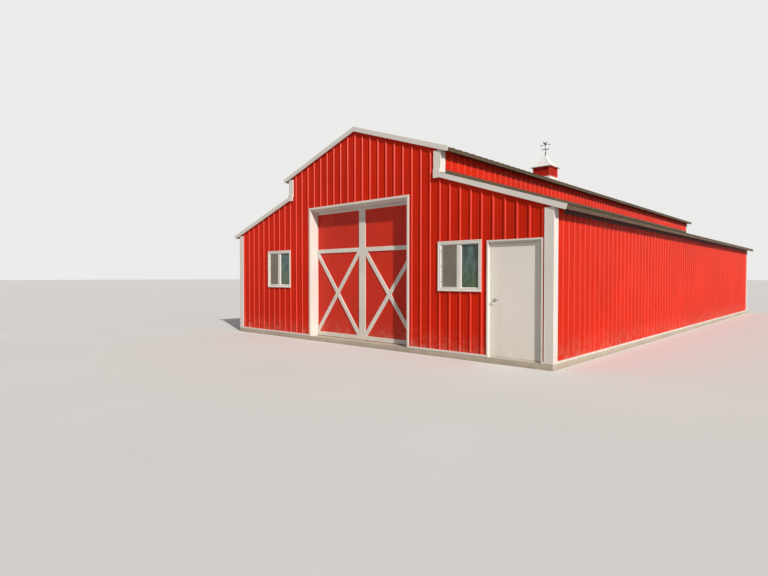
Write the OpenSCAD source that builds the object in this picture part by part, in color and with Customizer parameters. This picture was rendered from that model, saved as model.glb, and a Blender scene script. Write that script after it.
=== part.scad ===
// Red raised-centre barn, clad in ribbed steel on a timber post frame.
// X runs along the front wall, Y runs from front to back, Z is up; the origin is under the slab's middle.

/* [Building] */
// Width over the crests of the side siding
barn_w = 9080; // [8400:10:9800]
// Length over the crests of the end siding
barn_l = 18288; // [16000:24:20000]
// Width of the raised centre over its siding
centre_w = 4616; // [4560:2:4700]
// Height of the lower roof's underside at the side wall
eave_z = 2685; // [2660:5:2800]
// Height of the upper roof's underside at the raised wall
centre_eave_z = 3948; // [3900:2:4200]
// Roof rise for every 12 of run
roof_rise = 4; // [3.8:0.1:4.4]
// Overhang of the lower roof past the side wall
lower_overhang = 190; // [150:5:260]
// Overhang of the upper roof past the raised wall
upper_overhang = 160; // [120:5:220]
// Thickness of the floor slab
slab_h = 100; // [80:5:150]

/* [Siding] */
// Distance between major ribs
rib_pitch = 228.6; // [200:0.1:300]
// Height of a major rib above the flat of the sheet
rib_h = 19; // [12:1:30]
// Width of a rib at its foot
rib_foot = 46; // [40:1:60]
// Width of a rib at its crest
rib_crest = 20; // [14:1:30]
// Thickness of the flat of the sheet
sheet_t = 6; // [4:1:10]
// Distance from the front corner to the first rib of a side wall
first_side_rib = 390; // [360:5:420]
// Height of the closure strip between slab and siding
base_trim_h = 35; // [25:5:50]

/* [Timber frame] */
// Number of bays along the barn
bays = 5; // [4:1:6]
// Side of a square post
post_w = 140; // [120:5:160]
// Thickness of a wall girt
girt_t = 38; // [30:1:50]
// Height of a wall girt
girt_h = 140; // [90:5:160]
// Distance between the wall girts
girt_spacing = 700; // [650:5:705]
// Height of the gable's girt above the door header
gable_girt_rise = 330; // [250:10:350]
// Width of a purlin
purlin_w = 38; // [30:1:50]
// Height of a purlin
purlin_h = 89; // [60:1:89]
// Distance between the purlins of the lower roof
purlin_spacing = 690; // [680:5:700]
// Width of a rafter
rafter_w = 76; // [60:2:100]
// Height of a rafter
rafter_h = 184; // [150:2:200]
// Thickness of the ridge board
ridge_board_t = 38; // [30:2:50]
// How far the ridge board reaches below the rafters
ridge_board_drop = 30; // [10:5:60]
// Width of the tie between two rafters
tie_w = 38; // [30:2:50]
// Height of the tie between two rafters
tie_h = 140; // [120:5:160]
// Height of the beam between the inner posts
aisle_beam_h = 240; // [200:10:260]
// How far that beam reaches below the top of the lower rafters
aisle_beam_drop = 120; // [80:5:130]

/* [White trim] */
// Width of a corner trim's face
corner_w = 150; // [120:5:160]
// Thickness of folded trim
trim_t = 5; // [4:1:8]
// Depth of a rake trim below the roof's underside
rake_drop = 65; // [50:5:80]
// How far a rake trim stands out from the gable
rake_t = 30; // [20:2:40]
// How far a rake trim laps onto the roof
rake_lap = 60; // [40:5:80]
// Depth of the eave trim below the roof's underside
eave_drop = 52; // [40:2:70]
// Thickness of the eave trim from front to back
eave_t = 40; // [30:2:60]

/* [Sliding doors] */
// Clear width between the doorway's jambs
doorway_w = 3000; // [2800:20:3040]
// Clear height of the doorway above the slab
doorway_h = 2935; // [2800:5:2945]
// Width of the trim round the doorway
doorway_trim_w = 40; // [30:2:50]
// How much further the soffit's front half is raised
soffit_step = 50; // [30:5:60]
// Width of one door leaf
leaf_w = 1600; // [1560:5:1620]
// Thickness of a door leaf
leaf_t = 45; // [35:1:50]
// How far the leaf reaches up behind the header
leaf_lap = 35; // [25:5:40]
// Gap between the leaf's foot and the slab
leaf_gap = 10; // [6:1:20]
// Gap between the two leaves
meeting_gap = 6; // [6:1:12]
// Width of the white boards on the leaves
batten_w = 92; // [80:2:110]
// Thickness of the white boards on the leaves
batten_t = 19; // [12:1:25]
// Height of the middle board's centre above the slab
mid_rail_z = 2008; // [1700:4:2200]
// Gap between the wall posts and the white boards
leaf_standoff = 33; // [24:1:45]
// Travel of each leaf
leaf_travel = 1480; // [1400:10:1480]
// How far the track runs on past the outer hanger of an open leaf
track_end = 177; // [150:1:180]
// Width and height of the box track
track_w = 50; // [46:2:54]
// Wall of the box track
track_wall = 4; // [3:0.5:5]
// Width of the slot under the track
track_slot = 18; // [18:1:22]
// Radius of a hanger's wheels
wheel_r = 15; // [12:0.5:16]
// Gap between the leaf's top and the track
hanger_gap = 22; // [18:1:26]
// Distance of a hanger from the leaf's edge
hanger_inset = 260; // [150:10:400]
// Distance of the last bracket from the track's end
bracket_inset = 500; // [300:20:600]
// Width of a track bracket
bracket_w = 50; // [30:5:80]
// Height of the ledger behind each end of the track
ledger_h = 80; // [60:5:90]

/* [Side door] */
// Distance from the barn's corner to the middle of the side door
side_door_from_corner = 700; // [698:1:705]
// Width of the side door's leaf
side_leaf_w = 907; // [860:1:907]
// Height of the side door's leaf
side_leaf_h = 1946; // [1900:2:1960]
// Thickness of the side door's leaf
side_leaf_t = 44; // [38:1:50]
// Gap round the side door's leaf
side_gap = 4; // [3:0.5:5]
// Face width of the side door's frame
frame_face = 38; // [30:1:40]
// Depth of the side door's frame
frame_depth = 95; // [90:5:120]
// How far the frame stands behind the siding's crests
frame_recess = 55; // [45:1:60]
// Width of the white trim round the side door
side_trim_w = 24; // [14:1:28]
// Height of the threshold
threshold_h = 22; // [15:1:30]
// Length of the lever
lever_l = 115; // [90:5:130]
// Height of the lever above the slab
lever_z = 1000; // [900:10:1100]
// Distance of the lever's spindle from the leaf's edge
lever_inset = 62; // [55:1:75]
// Radius of the lever's spindle
spindle_r = 10; // [8:0.5:12]
// Radius of a lever's rose
rose_r = 32; // [28:1:36]
// Thickness of a lever's rose
rose_t = 9; // [6:0.5:12]
// Radius of a hinge knuckle
knuckle_r = 8; // [6:0.5:9]
// Radius of a hinge pin
pin_r = 3.5; // [3:0.5:4.5]
// Height of a hinge
hinge_h = 100; // [80:5:120]

/* [Windows] */
// Distance from a corner of the barn to the middle of a window
window_from_corner = 1805; // [1800:1:1810]
// Width over a window's flange
window_w = 950; // [900:5:950]
// Height over a window's flange
window_h = 925; // [850:5:960]
// Height of a window's underside above the slab
window_z = 1139; // [1110:1:1200]
// Width of a window's flange on the siding
flange_w = 12; // [10:1:16]
// Face width of a window's frame
window_face = 58; // [45:1:65]
// Width of the meeting stile
mullion_w = 70; // [50:2:90]
// Thickness of the glass
glass_t = 6; // [4:1:8]

/* [Cupola] */
// Width of the cupola's louvred body
cupola_w = 610; // [560:10:640]
// Height of the louvred body
cupola_h = 330; // [300:10:360]
// Height of the saddle above the ridge
saddle_h = 175; // [150:5:200]
// Width of the cupola's roof
cupola_roof_w = 760; // [720:10:800]
// Height of the cupola's roof
cupola_roof_h = 420; // [380:10:460]
// Thickness of the cupola roof's lip
roof_lip = 16; // [10:1:20]
// Louvres on each side
louvres = 5; // [4:1:6]
// Width of a cupola corner post
cupola_post = 50; // [40:2:60]

/* [Weather vane] */
// Height of the fixed rod above the cupola's roof
rod_h = 395; // [370:5:430]
// Radius of the fixed rod
rod_r = 9; // [8:0.5:10]
// Length of one compass arm
compass_arm = 95; // [80:5:120]
// Height of the compass arms above the cupola's roof
compass_z = 205; // [180:5:220]
// Length of the turning arrow
arrow_l = 330; // [280:10:380]
// Depth of the arrow's sleeve over the rod
sleeve_h = 55; // [40:5:60]

/* [Hidden] */

RED = "#b3261e";
WHITE = "#e9e6df";
BRONZE = "#5b4a38";
TIMBER = "#b08a5a";
STEEL = "#8f9295";

// Hair's gap between pieces that rest on each other
seat_gap = 0.3;
half_w = barn_w / 2;
front = -barn_l / 2;
centre_half = centre_w / 2;
slope = roof_rise / 12;
pitch = atan(slope);
siding_t = rib_h + sheet_t;
roof_rise_v = siding_t / cos(pitch);
flank = (rib_foot - rib_crest) / 2 / rib_h;
flank_shift = sheet_t * norm([1, flank]);
fold_foot = rib_foot / 2 + sheet_t * flank - flank_shift;
fold_crest = rib_foot / 2 - (rib_h - sheet_t) * flank - flank_shift;
siding_z = slab_h + base_trim_h;
girt_in = siding_t + girt_t;
post_in = girt_in + seat_gap + post_w;
purlin_v = purlin_h / cos(pitch);
rafter_v = rafter_h / cos(pitch);
wall_gap = 1;
edge_gap = 2;
cut = 1;

// Heights of both roofs' undersides, and of the timber under them, at a distance x from the middle
function lower_z(x) = eave_z + (half_w - x) * slope;
function upper_z(x) = centre_eave_z + (centre_half - x) * slope;
function lower_rafter_top(x) = lower_z(x) - purlin_v;
function upper_rafter_top(x) = upper_z(x) - purlin_v;
function lower_rafter_foot(x) = lower_rafter_top(x) - rafter_v;
function upper_rafter_foot(x) = upper_rafter_top(x) - rafter_v;

// Doorway heights
doorway_top = slab_h + doorway_h;
trim_top = doorway_top + soffit_step + doorway_trim_w;
opening_half = doorway_w / 2 + doorway_trim_w;
header_top = lower_rafter_top(centre_half);

// Door leaves, from front to back
boards_y = front + post_in + leaf_standoff;
leaf_y = boards_y + batten_t;
leaf_foot = slab_h + leaf_gap;
leaf_top = doorway_top + leaf_lap;
leaf_h = leaf_top - leaf_foot;
track_y = leaf_y + leaf_t / 2 - track_w / 2;
track_z = leaf_top + hanger_gap;
track_reach = meeting_gap / 2 + leaf_w - hanger_inset + leaf_travel + track_end;

// Middles of the windows and of the side door along the front wall
window_x = half_w - window_from_corner;
side_door_x = half_w - side_door_from_corner;

// Side door, from left to right
side_leaf_l = side_door_x - side_leaf_w / 2;
side_leaf_r = side_door_x + side_leaf_w / 2;
frame_l = side_leaf_l - side_gap - frame_face;
frame_r = side_leaf_r + side_gap + frame_face;
frame_y = front + frame_recess;
side_leaf_foot = slab_h + threshold_h + side_gap;
side_leaf_top = side_leaf_foot + side_leaf_h;
frame_top = side_leaf_top + side_gap + frame_face;
side_trim_l = frame_l - side_trim_w;
side_trim_r = frame_r + side_trim_w;
side_trim_top = frame_top + side_trim_w;
hinge_x = side_leaf_r + side_gap / 2;
lever_x = side_leaf_l + lever_inset;
hinge_y = frame_y - knuckle_r - 1;
hinge_feet = [for (z = [side_leaf_foot + 200, (side_leaf_foot + side_leaf_top) / 2, side_leaf_top - 200])
    z - hinge_h / 2];
run_gap = 0.3;

// Windows
window_foot = slab_h + window_z;
window_top = window_foot + window_h;
stile_y = 6;
pane_y = 34;
hole_w = window_w - 2 * flange_w;
hole_h = window_h - 2 * flange_w;

// Cupola
ridge_z = upper_z(0) + roof_rise_v + seat_gap;
cap_top = ridge_z + trim_t / cos(pitch);
saddle_foot = cap_top + seat_gap;
saddle_top = cap_top + saddle_h;
cupola_top = saddle_top + cupola_h;
vane_z = cupola_top + cupola_roof_h;

// A flat shape in X and Z, given its thickness from y back
module across(y, t) { translate([0, y + t, 0]) rotate([90, 0, 0]) linear_extrude(t) children(); }

// A flat shape in X and Z that runs the whole length of the barn
module along(trim = 0) { across(front + trim, barn_l - 2 * trim) children(); }

module both_sides() { children(); mirror([1, 0, 0]) children(); }
module both_ends() { children(); mirror([0, 1, 0]) children(); }

module box(x, y, z) {
    translate([x[0], y[0], z[0]]) cube([x[1] - x[0], y[1] - y[0], z[1] - z[0]]);
}

// Section of ribbed sheet along x from a to b: the flat back lies on y = 0 and the ribs stand towards -y,
// hollow inside, with the flanks as thick as the flat
module rib_section(a, b, ribs) {
    outer = [[-rib_foot / 2, sheet_t], [-rib_crest / 2, siding_t],
        [rib_crest / 2, siding_t], [rib_foot / 2, sheet_t]];
    inner = [[fold_foot, 0], [fold_crest, rib_h], [-fold_crest, rib_h], [-fold_foot, 0]];
    polygon(concat([[a, 0], [a, -sheet_t]],
        [for (c = ribs, p = outer) [c + p[0], -p[1]]],
        [[b, -sheet_t], [b, 0]],
        [for (i = [len(ribs) - 1 : -1 : 0], p = inner) [ribs[i] + p[0], -p[1]]]));
}

// Rib centres from a to b that keep the rhythm of a rib at start, and clear both edges
function rib_centres(a, b, start) = [
    let (edge = rib_foot / 2 + 1)
        for (i = [ceil((a + edge - start) / rib_pitch) : floor((b - edge - start) / rib_pitch)])
            start + i * rib_pitch];

// Front siding from a to b, within the flat shape given in X and Z
module front_siding(a, b) {
    intersection() {
        translate([0, front + siding_t, 0]) linear_extrude(upper_z(0))
            rib_section(a, b, rib_centres(a, b, 0));
        across(front - cut, siding_t + 2 * cut) children();
    }
}

// Outline of the gable siding, under both roofs
module gable_outline() {
    edge = half_w - siding_t;
    step = centre_half - siding_t;
    half = [[edge, siding_z], [edge, lower_z(edge) - wall_gap],
        [centre_half, lower_z(centre_half) - wall_gap], [step, lower_z(centre_half) - wall_gap],
        [step, upper_z(step) - wall_gap]];
    polygon(concat(half, [[0, upper_z(0) - wall_gap]],
        [for (i = [len(half) - 1 : -1 : 0]) [-half[i][0], half[i][1]]]));
}

module window_hole(side) {
    translate([side * window_x - hole_w / 2, window_foot + flange_w]) square([hole_w, hole_h]);
}

module slab() {
    color("#b9b2a4") box([-half_w, half_w], [front, -front], [0, slab_h]);
}

// White closure strip under the siding, open at the two doorways
module base_trim() {
    color(WHITE) difference() {
        box([-half_w - trim_t, half_w + trim_t], [front - trim_t, -front + trim_t], [slab_h, siding_z]);
        box([-half_w + siding_t, half_w - siding_t], [front + siding_t, -front - siding_t],
            [slab_h - cut, siding_z + cut]);
        box([-opening_half, opening_half], [front - 2 * trim_t, front + 2 * siding_t],
            [slab_h - cut, siding_z + cut]);
        box([side_trim_l, side_trim_r], [front - 2 * trim_t, front + 2 * siding_t],
            [slab_h - cut, siding_z + cut]);
    }
}

module front_wall_left() {
    color(RED) front_siding(-half_w + siding_t, -opening_half)
        difference() { gable_outline(); window_hole(-1); }
}

module front_wall_right() {
    color(RED) front_siding(opening_half, side_trim_l)
        difference() { gable_outline(); window_hole(1); }
}

module front_wall_over_doors() {
    color(RED) front_siding(-opening_half, opening_half) difference() {
        gable_outline();
        translate([-half_w, 0]) square([barn_w, trim_top]);
    }
}

// Siding over the side door, with the narrow strip between that door and the corner
module front_wall_side_door() {
    color(RED) front_siding(side_trim_l, half_w - siding_t) difference() {
        gable_outline();
        translate([side_trim_l - 1, 0]) square([side_trim_r - side_trim_l + 1, side_trim_top]);
    }
}

module back_wall() {
    color(RED) mirror([0, 1, 0]) front_siding(-half_w + siding_t, half_w - siding_t) gable_outline();
}

// Ribbed siding of a wall that runs from front to back: x is its crest plane
module long_siding(x, z0, z1) {
    translate([x - siding_t, 0, z0]) rotate([0, 0, 90]) linear_extrude(z1 - z0)
        rib_section(front, -front, rib_centres(front + corner_w, -front - corner_w, front + first_side_rib));
}

module right_wall() { color(RED) long_siding(half_w, siding_z, eave_z - wall_gap); }
module left_wall() { color(RED) mirror([1, 0, 0]) long_siding(half_w, siding_z, eave_z - wall_gap); }

module raised_wall() {
    long_siding(centre_half, lower_z(centre_half), centre_eave_z - wall_gap);
}
module right_raised_wall() { color(RED) raised_wall(); }
module left_raised_wall() { color(RED) mirror([1, 0, 0]) raised_wall(); }

// Ribbed roofing sheet from x0 down to x1, whose underside passes through z at x0
module roof_sheet(x0, x1, z) {
    translate([x0, 0, z]) rotate([0, 90 + pitch, 0]) rotate([0, 0, -90])
        linear_extrude((x1 - x0) / cos(pitch)) rib_section(front, -front, rib_centres(front, -front, 0));
}

lower_roof_start = centre_half + siding_t * slope + edge_gap;
upper_roof_start = 30;
cap_wing = 160;
rake_clear = 10;
module lower_roof() {
    roof_sheet(lower_roof_start, half_w + lower_overhang, lower_z(lower_roof_start));
}
module upper_roof() {
    roof_sheet(upper_roof_start, centre_half + upper_overhang, upper_z(upper_roof_start));
}
module right_lower_roof() { color(BRONZE) lower_roof(); }
module left_lower_roof() { color(BRONZE) mirror([1, 0, 0]) lower_roof(); }
module right_upper_roof() { color(BRONZE) upper_roof(); }
module left_upper_roof() { color(BRONZE) mirror([1, 0, 0]) upper_roof(); }

// Folded cap on the crests of the upper roof
module ridge_cap() {
    t = trim_t / cos(pitch);
    fall = cap_wing * slope;
    color(BRONZE) along() polygon([[0, ridge_z], [cap_wing, ridge_z - fall], [cap_wing, ridge_z + t - fall],
        [0, ridge_z + t], [-cap_wing, ridge_z + t - fall], [-cap_wing, ridge_z - fall]]);
}

// One sloping length of rake trim: a face on the gable and a lap on the roof's crests
module rake(x0, x1, z) {
    top = roof_rise_v + trim_t;
    foot_z = z - (x1 - x0) * slope;
    lean = (rake_drop + top) * slope;
    across(front - rake_t, rake_t) polygon([[x0, z - rake_drop], [x1, foot_z - rake_drop],
        [x1 + lean, foot_z + top - lean * slope], [x0, z + top]]);
    across(front - rake_t, rake_t + rake_lap) polygon([[x0, z + roof_rise_v + seat_gap],
        [x1, foot_z + roof_rise_v + seat_gap], [x1, foot_z + top], [x0, z + top]]);
}

module front_rake_set() {
    both_sides() {
        rake(centre_half + trim_t, half_w + lower_overhang, lower_z(centre_half + trim_t));
    }
    difference() {
        both_sides() rake(0, centre_half + upper_overhang, upper_z(0));
        across(front, 2 * rake_lap) translate([-cap_wing - rake_clear, ridge_z - roof_rise_v - cap_wing])
            square([2 * (cap_wing + rake_clear), 2 * (roof_rise_v + cap_wing)]);
    }
}

module front_rakes() { color(WHITE) front_rake_set(); }
module back_rakes() { color(WHITE) mirror([0, 1, 0]) front_rake_set(); }

// Bronze trim that closes the edge of a roof: z is the roof's underside at its edge x
module eave_trim(x, z) {
    along() polygon([[x - eave_t, z + eave_t * slope - seat_gap], [x, z - seat_gap],
        [x, z - eave_drop], [x - eave_t, z - eave_drop]]);
}
module lower_eave_trims() {
    edge = half_w + lower_overhang;
    color(BRONZE) both_sides() eave_trim(edge, lower_z(edge));
}
module upper_eave_trims() {
    edge = centre_half + upper_overhang;
    color(BRONZE) both_sides() eave_trim(edge, upper_z(edge));
}

// Folded corner trim round the corner at x, with returns to the flats of the sheets
module corner_trim(x, z0, z1) {
    out = trim_t;
    back = rib_h;
    translate([x, front, z0]) linear_extrude(z1 - z0) polygon([
        [out, -out], [out, corner_w], [-back, corner_w], [-back, corner_w - trim_t],
        [0, corner_w - trim_t], [0, 0], [-corner_w + trim_t, 0], [-corner_w + trim_t, back],
        [-corner_w, back], [-corner_w, -out]]);
}

module corner_trims() {
    z1 = lower_z(half_w + trim_t) - rake_drop - wall_gap;
    color(WHITE) both_ends() both_sides() corner_trim(half_w, siding_z, z1);
}

// Corners of the raised centre: they stand on the lower roof's rakes
module raised_corner_trims() {
    rake_gap = 10;
    z0 = lower_z(centre_half) + roof_rise_v + trim_t + rake_gap;
    z1 = upper_z(centre_half + trim_t) - rake_drop - wall_gap;
    color(WHITE) both_ends() both_sides() corner_trim(centre_half, z0, z1);
}

// White jambs and stepped soffit of the big doorway
module doorway_trim() {
    inner = doorway_w / 2;
    trim_clear = 12;
    back = front + post_in + leaf_standoff - trim_clear;
    step_y = front + post_in / 2;
    color(WHITE) {
        both_sides() box([inner, opening_half], [front - trim_t, back], [slab_h, trim_top]);
        box([-inner, inner], [front - trim_t, back], [trim_top - doorway_trim_w, trim_top]);
        box([-inner, inner], [step_y, back], [doorway_top, trim_top - doorway_trim_w]);
    }
}

// Y of the middle of each row of posts
first_row = front + post_in - post_w / 2;
bay_l = -2 * first_row / bays;
rows = [for (i = [0 : bays]) first_row + i * bay_l];

// Post whose head slopes from head0 at its inner side, x, to head1
module post(x, y, head0, head1) {
    across(y - post_w / 2, post_w) polygon([[x, slab_h], [x + post_w, slab_h],
        [x + post_w, head1 - seat_gap], [x, head0 - seat_gap]]);
}

// Heights of the feet of the wall girts
girt_feet = [for (i = [0 : 3]) siding_z + i * girt_spacing];
gable_girt_z = header_top + gable_girt_rise;

module side_frame() {
    x = half_w - post_in;
    for (y = rows) post(x, y, lower_rafter_foot(x), lower_rafter_foot(x + post_w));
    for (z = girt_feet)
        box([half_w - girt_in, half_w - siding_t], [front + girt_in, -front - girt_in], [z, z + girt_h]);
}
module right_side_frame() { color(TIMBER) side_frame(); }
module left_side_frame() { color(TIMBER) mirror([1, 0, 0]) side_frame(); }

// Inner posts, the beams between them, and the girts of the raised wall
module aisle_frame() {
    x = centre_half - post_in;
    beam_z = header_top - aisle_beam_drop;
    between = post_w / 2 + seat_gap;
    for (y = rows) post(x, y, upper_rafter_foot(x), upper_rafter_foot(x + post_w));
    for (i = [0 : bays - 1]) box([x + post_w / 4, x + 3 * post_w / 4],
        [rows[i] + between, rows[i + 1] - between], [beam_z, beam_z + aisle_beam_h]);
    for (z = [lower_z(centre_half), upper_rafter_foot(centre_half) - purlin_h - wall_gap])
        box([centre_half - girt_in, centre_half - siding_t],
            [front + girt_in, -front - girt_in], [z, z + purlin_h]);
}
module right_aisle_frame() { color(TIMBER) aisle_frame(); }
module left_aisle_frame() { color(TIMBER) mirror([1, 0, 0]) aisle_frame(); }

// Girts of an end wall between a and b, clear of the shape given in X and Z
module end_girts(a, b) {
    across(front + siding_t, girt_t) difference() {
        for (z = girt_feet) translate([a, z]) square([b - a, girt_h]);
        children();
    }
}

// Frame round a window: sill and head boards and side studs
module window_framing(side) {
    board = 40;
    across(front + siding_t, girt_t) difference() {
        translate([side * window_x - hole_w / 2 - board, window_foot + flange_w - board])
            square([hole_w + 2 * board, hole_h + 2 * board]);
        window_hole(side);
    }
}

module front_frame_left() {
    color(TIMBER) {
        end_girts(-half_w + siding_t, -opening_half) window_hole(-1);
        window_framing(-1);
        post(-opening_half - post_w, first_row, trim_top, trim_top);
    }
}

module front_frame_right() {
    color(TIMBER) {
        end_girts(opening_half, side_trim_l) window_hole(1);
        window_framing(1);
        post(opening_half, first_row, trim_top, trim_top);
        box([side_trim_l, half_w - siding_t], [front + siding_t, front + girt_in],
            [side_trim_top, side_trim_top + girt_h]);
    }
}

// Beam over the big doorway, the girts of the gable above it, and a ledger for each end of the track
module doorway_header() {
    reach = centre_half - post_in;
    color(TIMBER) {
        both_sides() box([centre_half - girt_in, track_reach],
            [first_row + rafter_w / 2 + seat_gap, front + post_in],
            [track_z + track_w - ledger_h / 2, track_z + track_w + ledger_h / 2]);
        box([-reach, reach], [front + girt_in + seat_gap, front + post_in], [trim_top, header_top]);
        for (z = [trim_top, gable_girt_z])
            box([-reach, reach], [front + siding_t, front + girt_in], [z, z + girt_h]);
        both_sides() box([reach - post_w, reach], [front + siding_t, front + girt_in],
            [trim_top, gable_girt_z + girt_h]);
    }
}

module back_frame() {
    reach = centre_half - post_in;
    color(TIMBER) mirror([0, 1, 0]) {
        end_girts(-half_w + siding_t, half_w - siding_t);
        both_sides() post(opening_half, first_row, header_top, header_top);
        box([-reach, reach], [front + siding_t, front + girt_in],
            [gable_girt_z, gable_girt_z + girt_h]);
    }
}

// A purlin from end to end on the rafters: x is its lower side, and z0 and z1 the roof's underside there
module purlin(x, z0, z1) {
    head = seat_gap;
    foot = purlin_v - seat_gap;
    along(siding_t) polygon([[x, z0 - foot], [x, z0 - head],
        [x - purlin_w, z1 - head], [x - purlin_w, z1 - foot]]);
}

module lower_roof_frame() {
    x0 = centre_half - girt_in;
    x1 = half_w - siding_t - edge_gap;
    color(TIMBER) both_sides() {
        for (y = rows) across(y - rafter_w / 2, rafter_w) polygon([[x0, lower_rafter_foot(x0)],
            [x1, lower_rafter_foot(x1)], [x1, lower_rafter_top(x1)], [x0, lower_rafter_top(x0)]]);
        for (x = [x1 : -purlin_spacing : centre_half + purlin_w])
            purlin(x, lower_z(x), lower_z(x - purlin_w));
    }
}

// Rafters and purlins on both sides of the ridge board, which they meet with a hair's gap
module upper_roof_frame() {
    x0 = ridge_board_t / 2 + seat_gap;
    x1 = centre_half - siding_t - edge_gap;
    first_purlin = 90;
    color(TIMBER) {
        both_sides() {
            for (y = rows) across(y - rafter_w / 2, rafter_w) polygon([[x0, upper_rafter_foot(x0)],
                [x1, upper_rafter_foot(x1)], [x1, upper_rafter_top(x1)], [x0, upper_rafter_top(x0)]]);
            for (x = [first_purlin, (first_purlin + x1) / 2, x1])
                purlin(x, upper_z(x), upper_z(x - purlin_w));
        }
        along(siding_t) translate([-ridge_board_t / 2, upper_rafter_foot(0) - ridge_board_drop])
            square([ridge_board_t, rafter_v + ridge_board_drop]);
    }
}

// Ties across the centre, each between two inner posts and lapped on the side of its rafters' feet
module roof_ties() {
    reach = centre_half - post_in - seat_gap;
    lap = rafter_w / 2 + seat_gap;
    foot = upper_rafter_foot(reach) - tie_h / 2;
    color(TIMBER) for (y = rows)
        translate([-reach, y < 0 ? y + lap : y - lap - tie_w, foot]) cube([2 * reach, tie_w, tie_h]);
}

// Box track open along its underside, hung from brackets on the header and the ledgers
module door_track() {
    track_top = track_z + track_w;
    plate = 8;
    color(STEEL) {
        difference() {
            box([-track_reach, track_reach], [track_y, track_y + track_w], [track_z, track_top]);
            box([-track_reach - 1, track_reach + 1],
                [track_y + track_wall, track_y + track_w - track_wall],
                [track_z + track_wall, track_top - track_wall]);
            box([-track_reach - 1, track_reach + 1],
                [track_y + (track_w - track_slot) / 2, track_y + (track_w + track_slot) / 2],
                [track_z - 1, track_z + track_wall + 1]);
        }
        for (i = [-4 : 4]) translate([i * (track_reach - bracket_inset) / 4, 0, 0]) {
            box([-bracket_w / 2, bracket_w / 2], [front + post_in, track_y + track_w],
                [track_top, track_top + plate]);
            box([-bracket_w / 2, bracket_w / 2], [front + post_in, front + post_in + plate],
                [track_top, track_top + ledger_h / 2 - 10]);
        }
    }
}

module leaf_at(side) {
    translate([side > 0 ? meeting_gap / 2 : -meeting_gap / 2 - leaf_w, 0, 0]) children();
}

// Steel-faced leaf
module door_leaf(side) {
    leaf_at(side) translate([0, leaf_y, leaf_foot]) cube([leaf_w, leaf_t, leaf_h]);
}

// White boards on the leaf: stiles, three rails and a saltire under the middle rail
module door_boards(side) {
    mid = slab_h + mid_rail_z;
    low0 = leaf_foot + batten_w;
    low1 = mid - batten_w / 2;
    run = leaf_w - 2 * batten_w;
    reach = norm([run, low1 - low0]);
    lean = atan2(low1 - low0, run);
    leaf_at(side) across(boards_y, batten_t) {
        for (x = [0, leaf_w - batten_w]) translate([x, leaf_foot]) square([batten_w, leaf_h]);
        for (z = [leaf_foot, mid - batten_w / 2, leaf_top - batten_w])
            translate([0, z]) square([leaf_w, batten_w]);
        intersection() {
            translate([batten_w, low0]) square([run, low1 - low0]);
            translate([leaf_w / 2, (low0 + low1) / 2]) for (s = [-1, 1]) rotate(s * lean)
                square([reach + batten_w, batten_w], center = true);
        }
    }
}

// Two hangers: a strap on the leaf's top, a stem through the slot and a pair of wheels in the track
module door_hangers(side) {
    axle_z = track_z + track_wall + run_gap + wheel_r;
    wheel_l = track_w - 2 * track_wall - 10;
    wheel_x = wheel_r + 3;
    plate = 8;
    strap_l = 120;
    strap_w = 40;
    leaf_at(side) for (x = [hanger_inset, leaf_w - hanger_inset]) translate([x, leaf_y + leaf_t / 2, 0]) {
        translate([-strap_l / 2, -strap_w / 2, leaf_top]) cube([strap_l, strap_w, plate]);
        for (w = [-1, 1]) translate([w * wheel_x, 0, 0]) {
            translate([-plate / 2, -plate / 2, leaf_top]) cube([plate, plate, axle_z - leaf_top]);
            translate([0, wheel_l / 2, axle_z]) rotate([90, 0, 0])
                cylinder(r = wheel_r, h = wheel_l, $fn = 32);
        }
    }
}

module left_door_leaf() { color(RED) door_leaf(-1); }
module right_door_leaf() { color(RED) door_leaf(1); }
module left_door_boards() { color(WHITE) door_boards(-1); }
module right_door_boards() { color(WHITE) door_boards(1); }
module left_door_hangers() { color(STEEL) door_hangers(-1); }
module right_door_hangers() { color(STEEL) door_hangers(1); }

// White trim that covers the siding's edge round the side door
module side_door_trim() {
    color(WHITE) across(front - trim_t, frame_recess + trim_t) difference() {
        translate([side_trim_l, slab_h]) square([side_trim_r - side_trim_l, side_trim_top - slab_h]);
        translate([frame_l, slab_h - cut]) square([frame_r - frame_l, frame_top - slab_h + 1]);
    }
}

// Steel frame with its stop, its threshold, and the pins and outer knuckles of the hinges
module side_door_frame() {
    stop = 15;
    stop_y = frame_y + side_leaf_t + 3;
    color(WHITE) {
        across(frame_y, frame_depth) difference() {
            translate([frame_l, slab_h]) square([frame_r - frame_l, frame_top - slab_h]);
            translate([frame_l + frame_face, slab_h - cut])
                square([frame_r - frame_l - 2 * frame_face, frame_top - frame_face - slab_h + 1]);
        }
        across(stop_y, frame_y + frame_depth - stop_y) difference() {
            translate([frame_l + frame_face, slab_h])
                square([frame_r - frame_l - 2 * frame_face, frame_top - frame_face - slab_h]);
            translate([frame_l + frame_face + stop, slab_h - cut]) square(
                [frame_r - frame_l - 2 * (frame_face + stop), frame_top - frame_face - stop - slab_h + 1]);
        }
        box([frame_l + frame_face, frame_r - frame_face], [frame_y, frame_y + frame_depth],
            [slab_h, slab_h + threshold_h]);
        for (z = hinge_feet) translate([0, 0, z]) {
            translate([hinge_x, hinge_y, 0]) cylinder(r = pin_r, h = hinge_h, $fn = 32);
            for (foot = [0, 3 * hinge_h / 4]) translate([0, 0, foot]) {
                translate([hinge_x, hinge_y, 0]) cylinder(r = knuckle_r, h = hinge_h / 4, $fn = 32);
                box([side_leaf_r + side_gap, hinge_x + knuckle_r], [hinge_y, frame_y], [0, hinge_h / 4]);
            }
        }
    }
}

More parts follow.
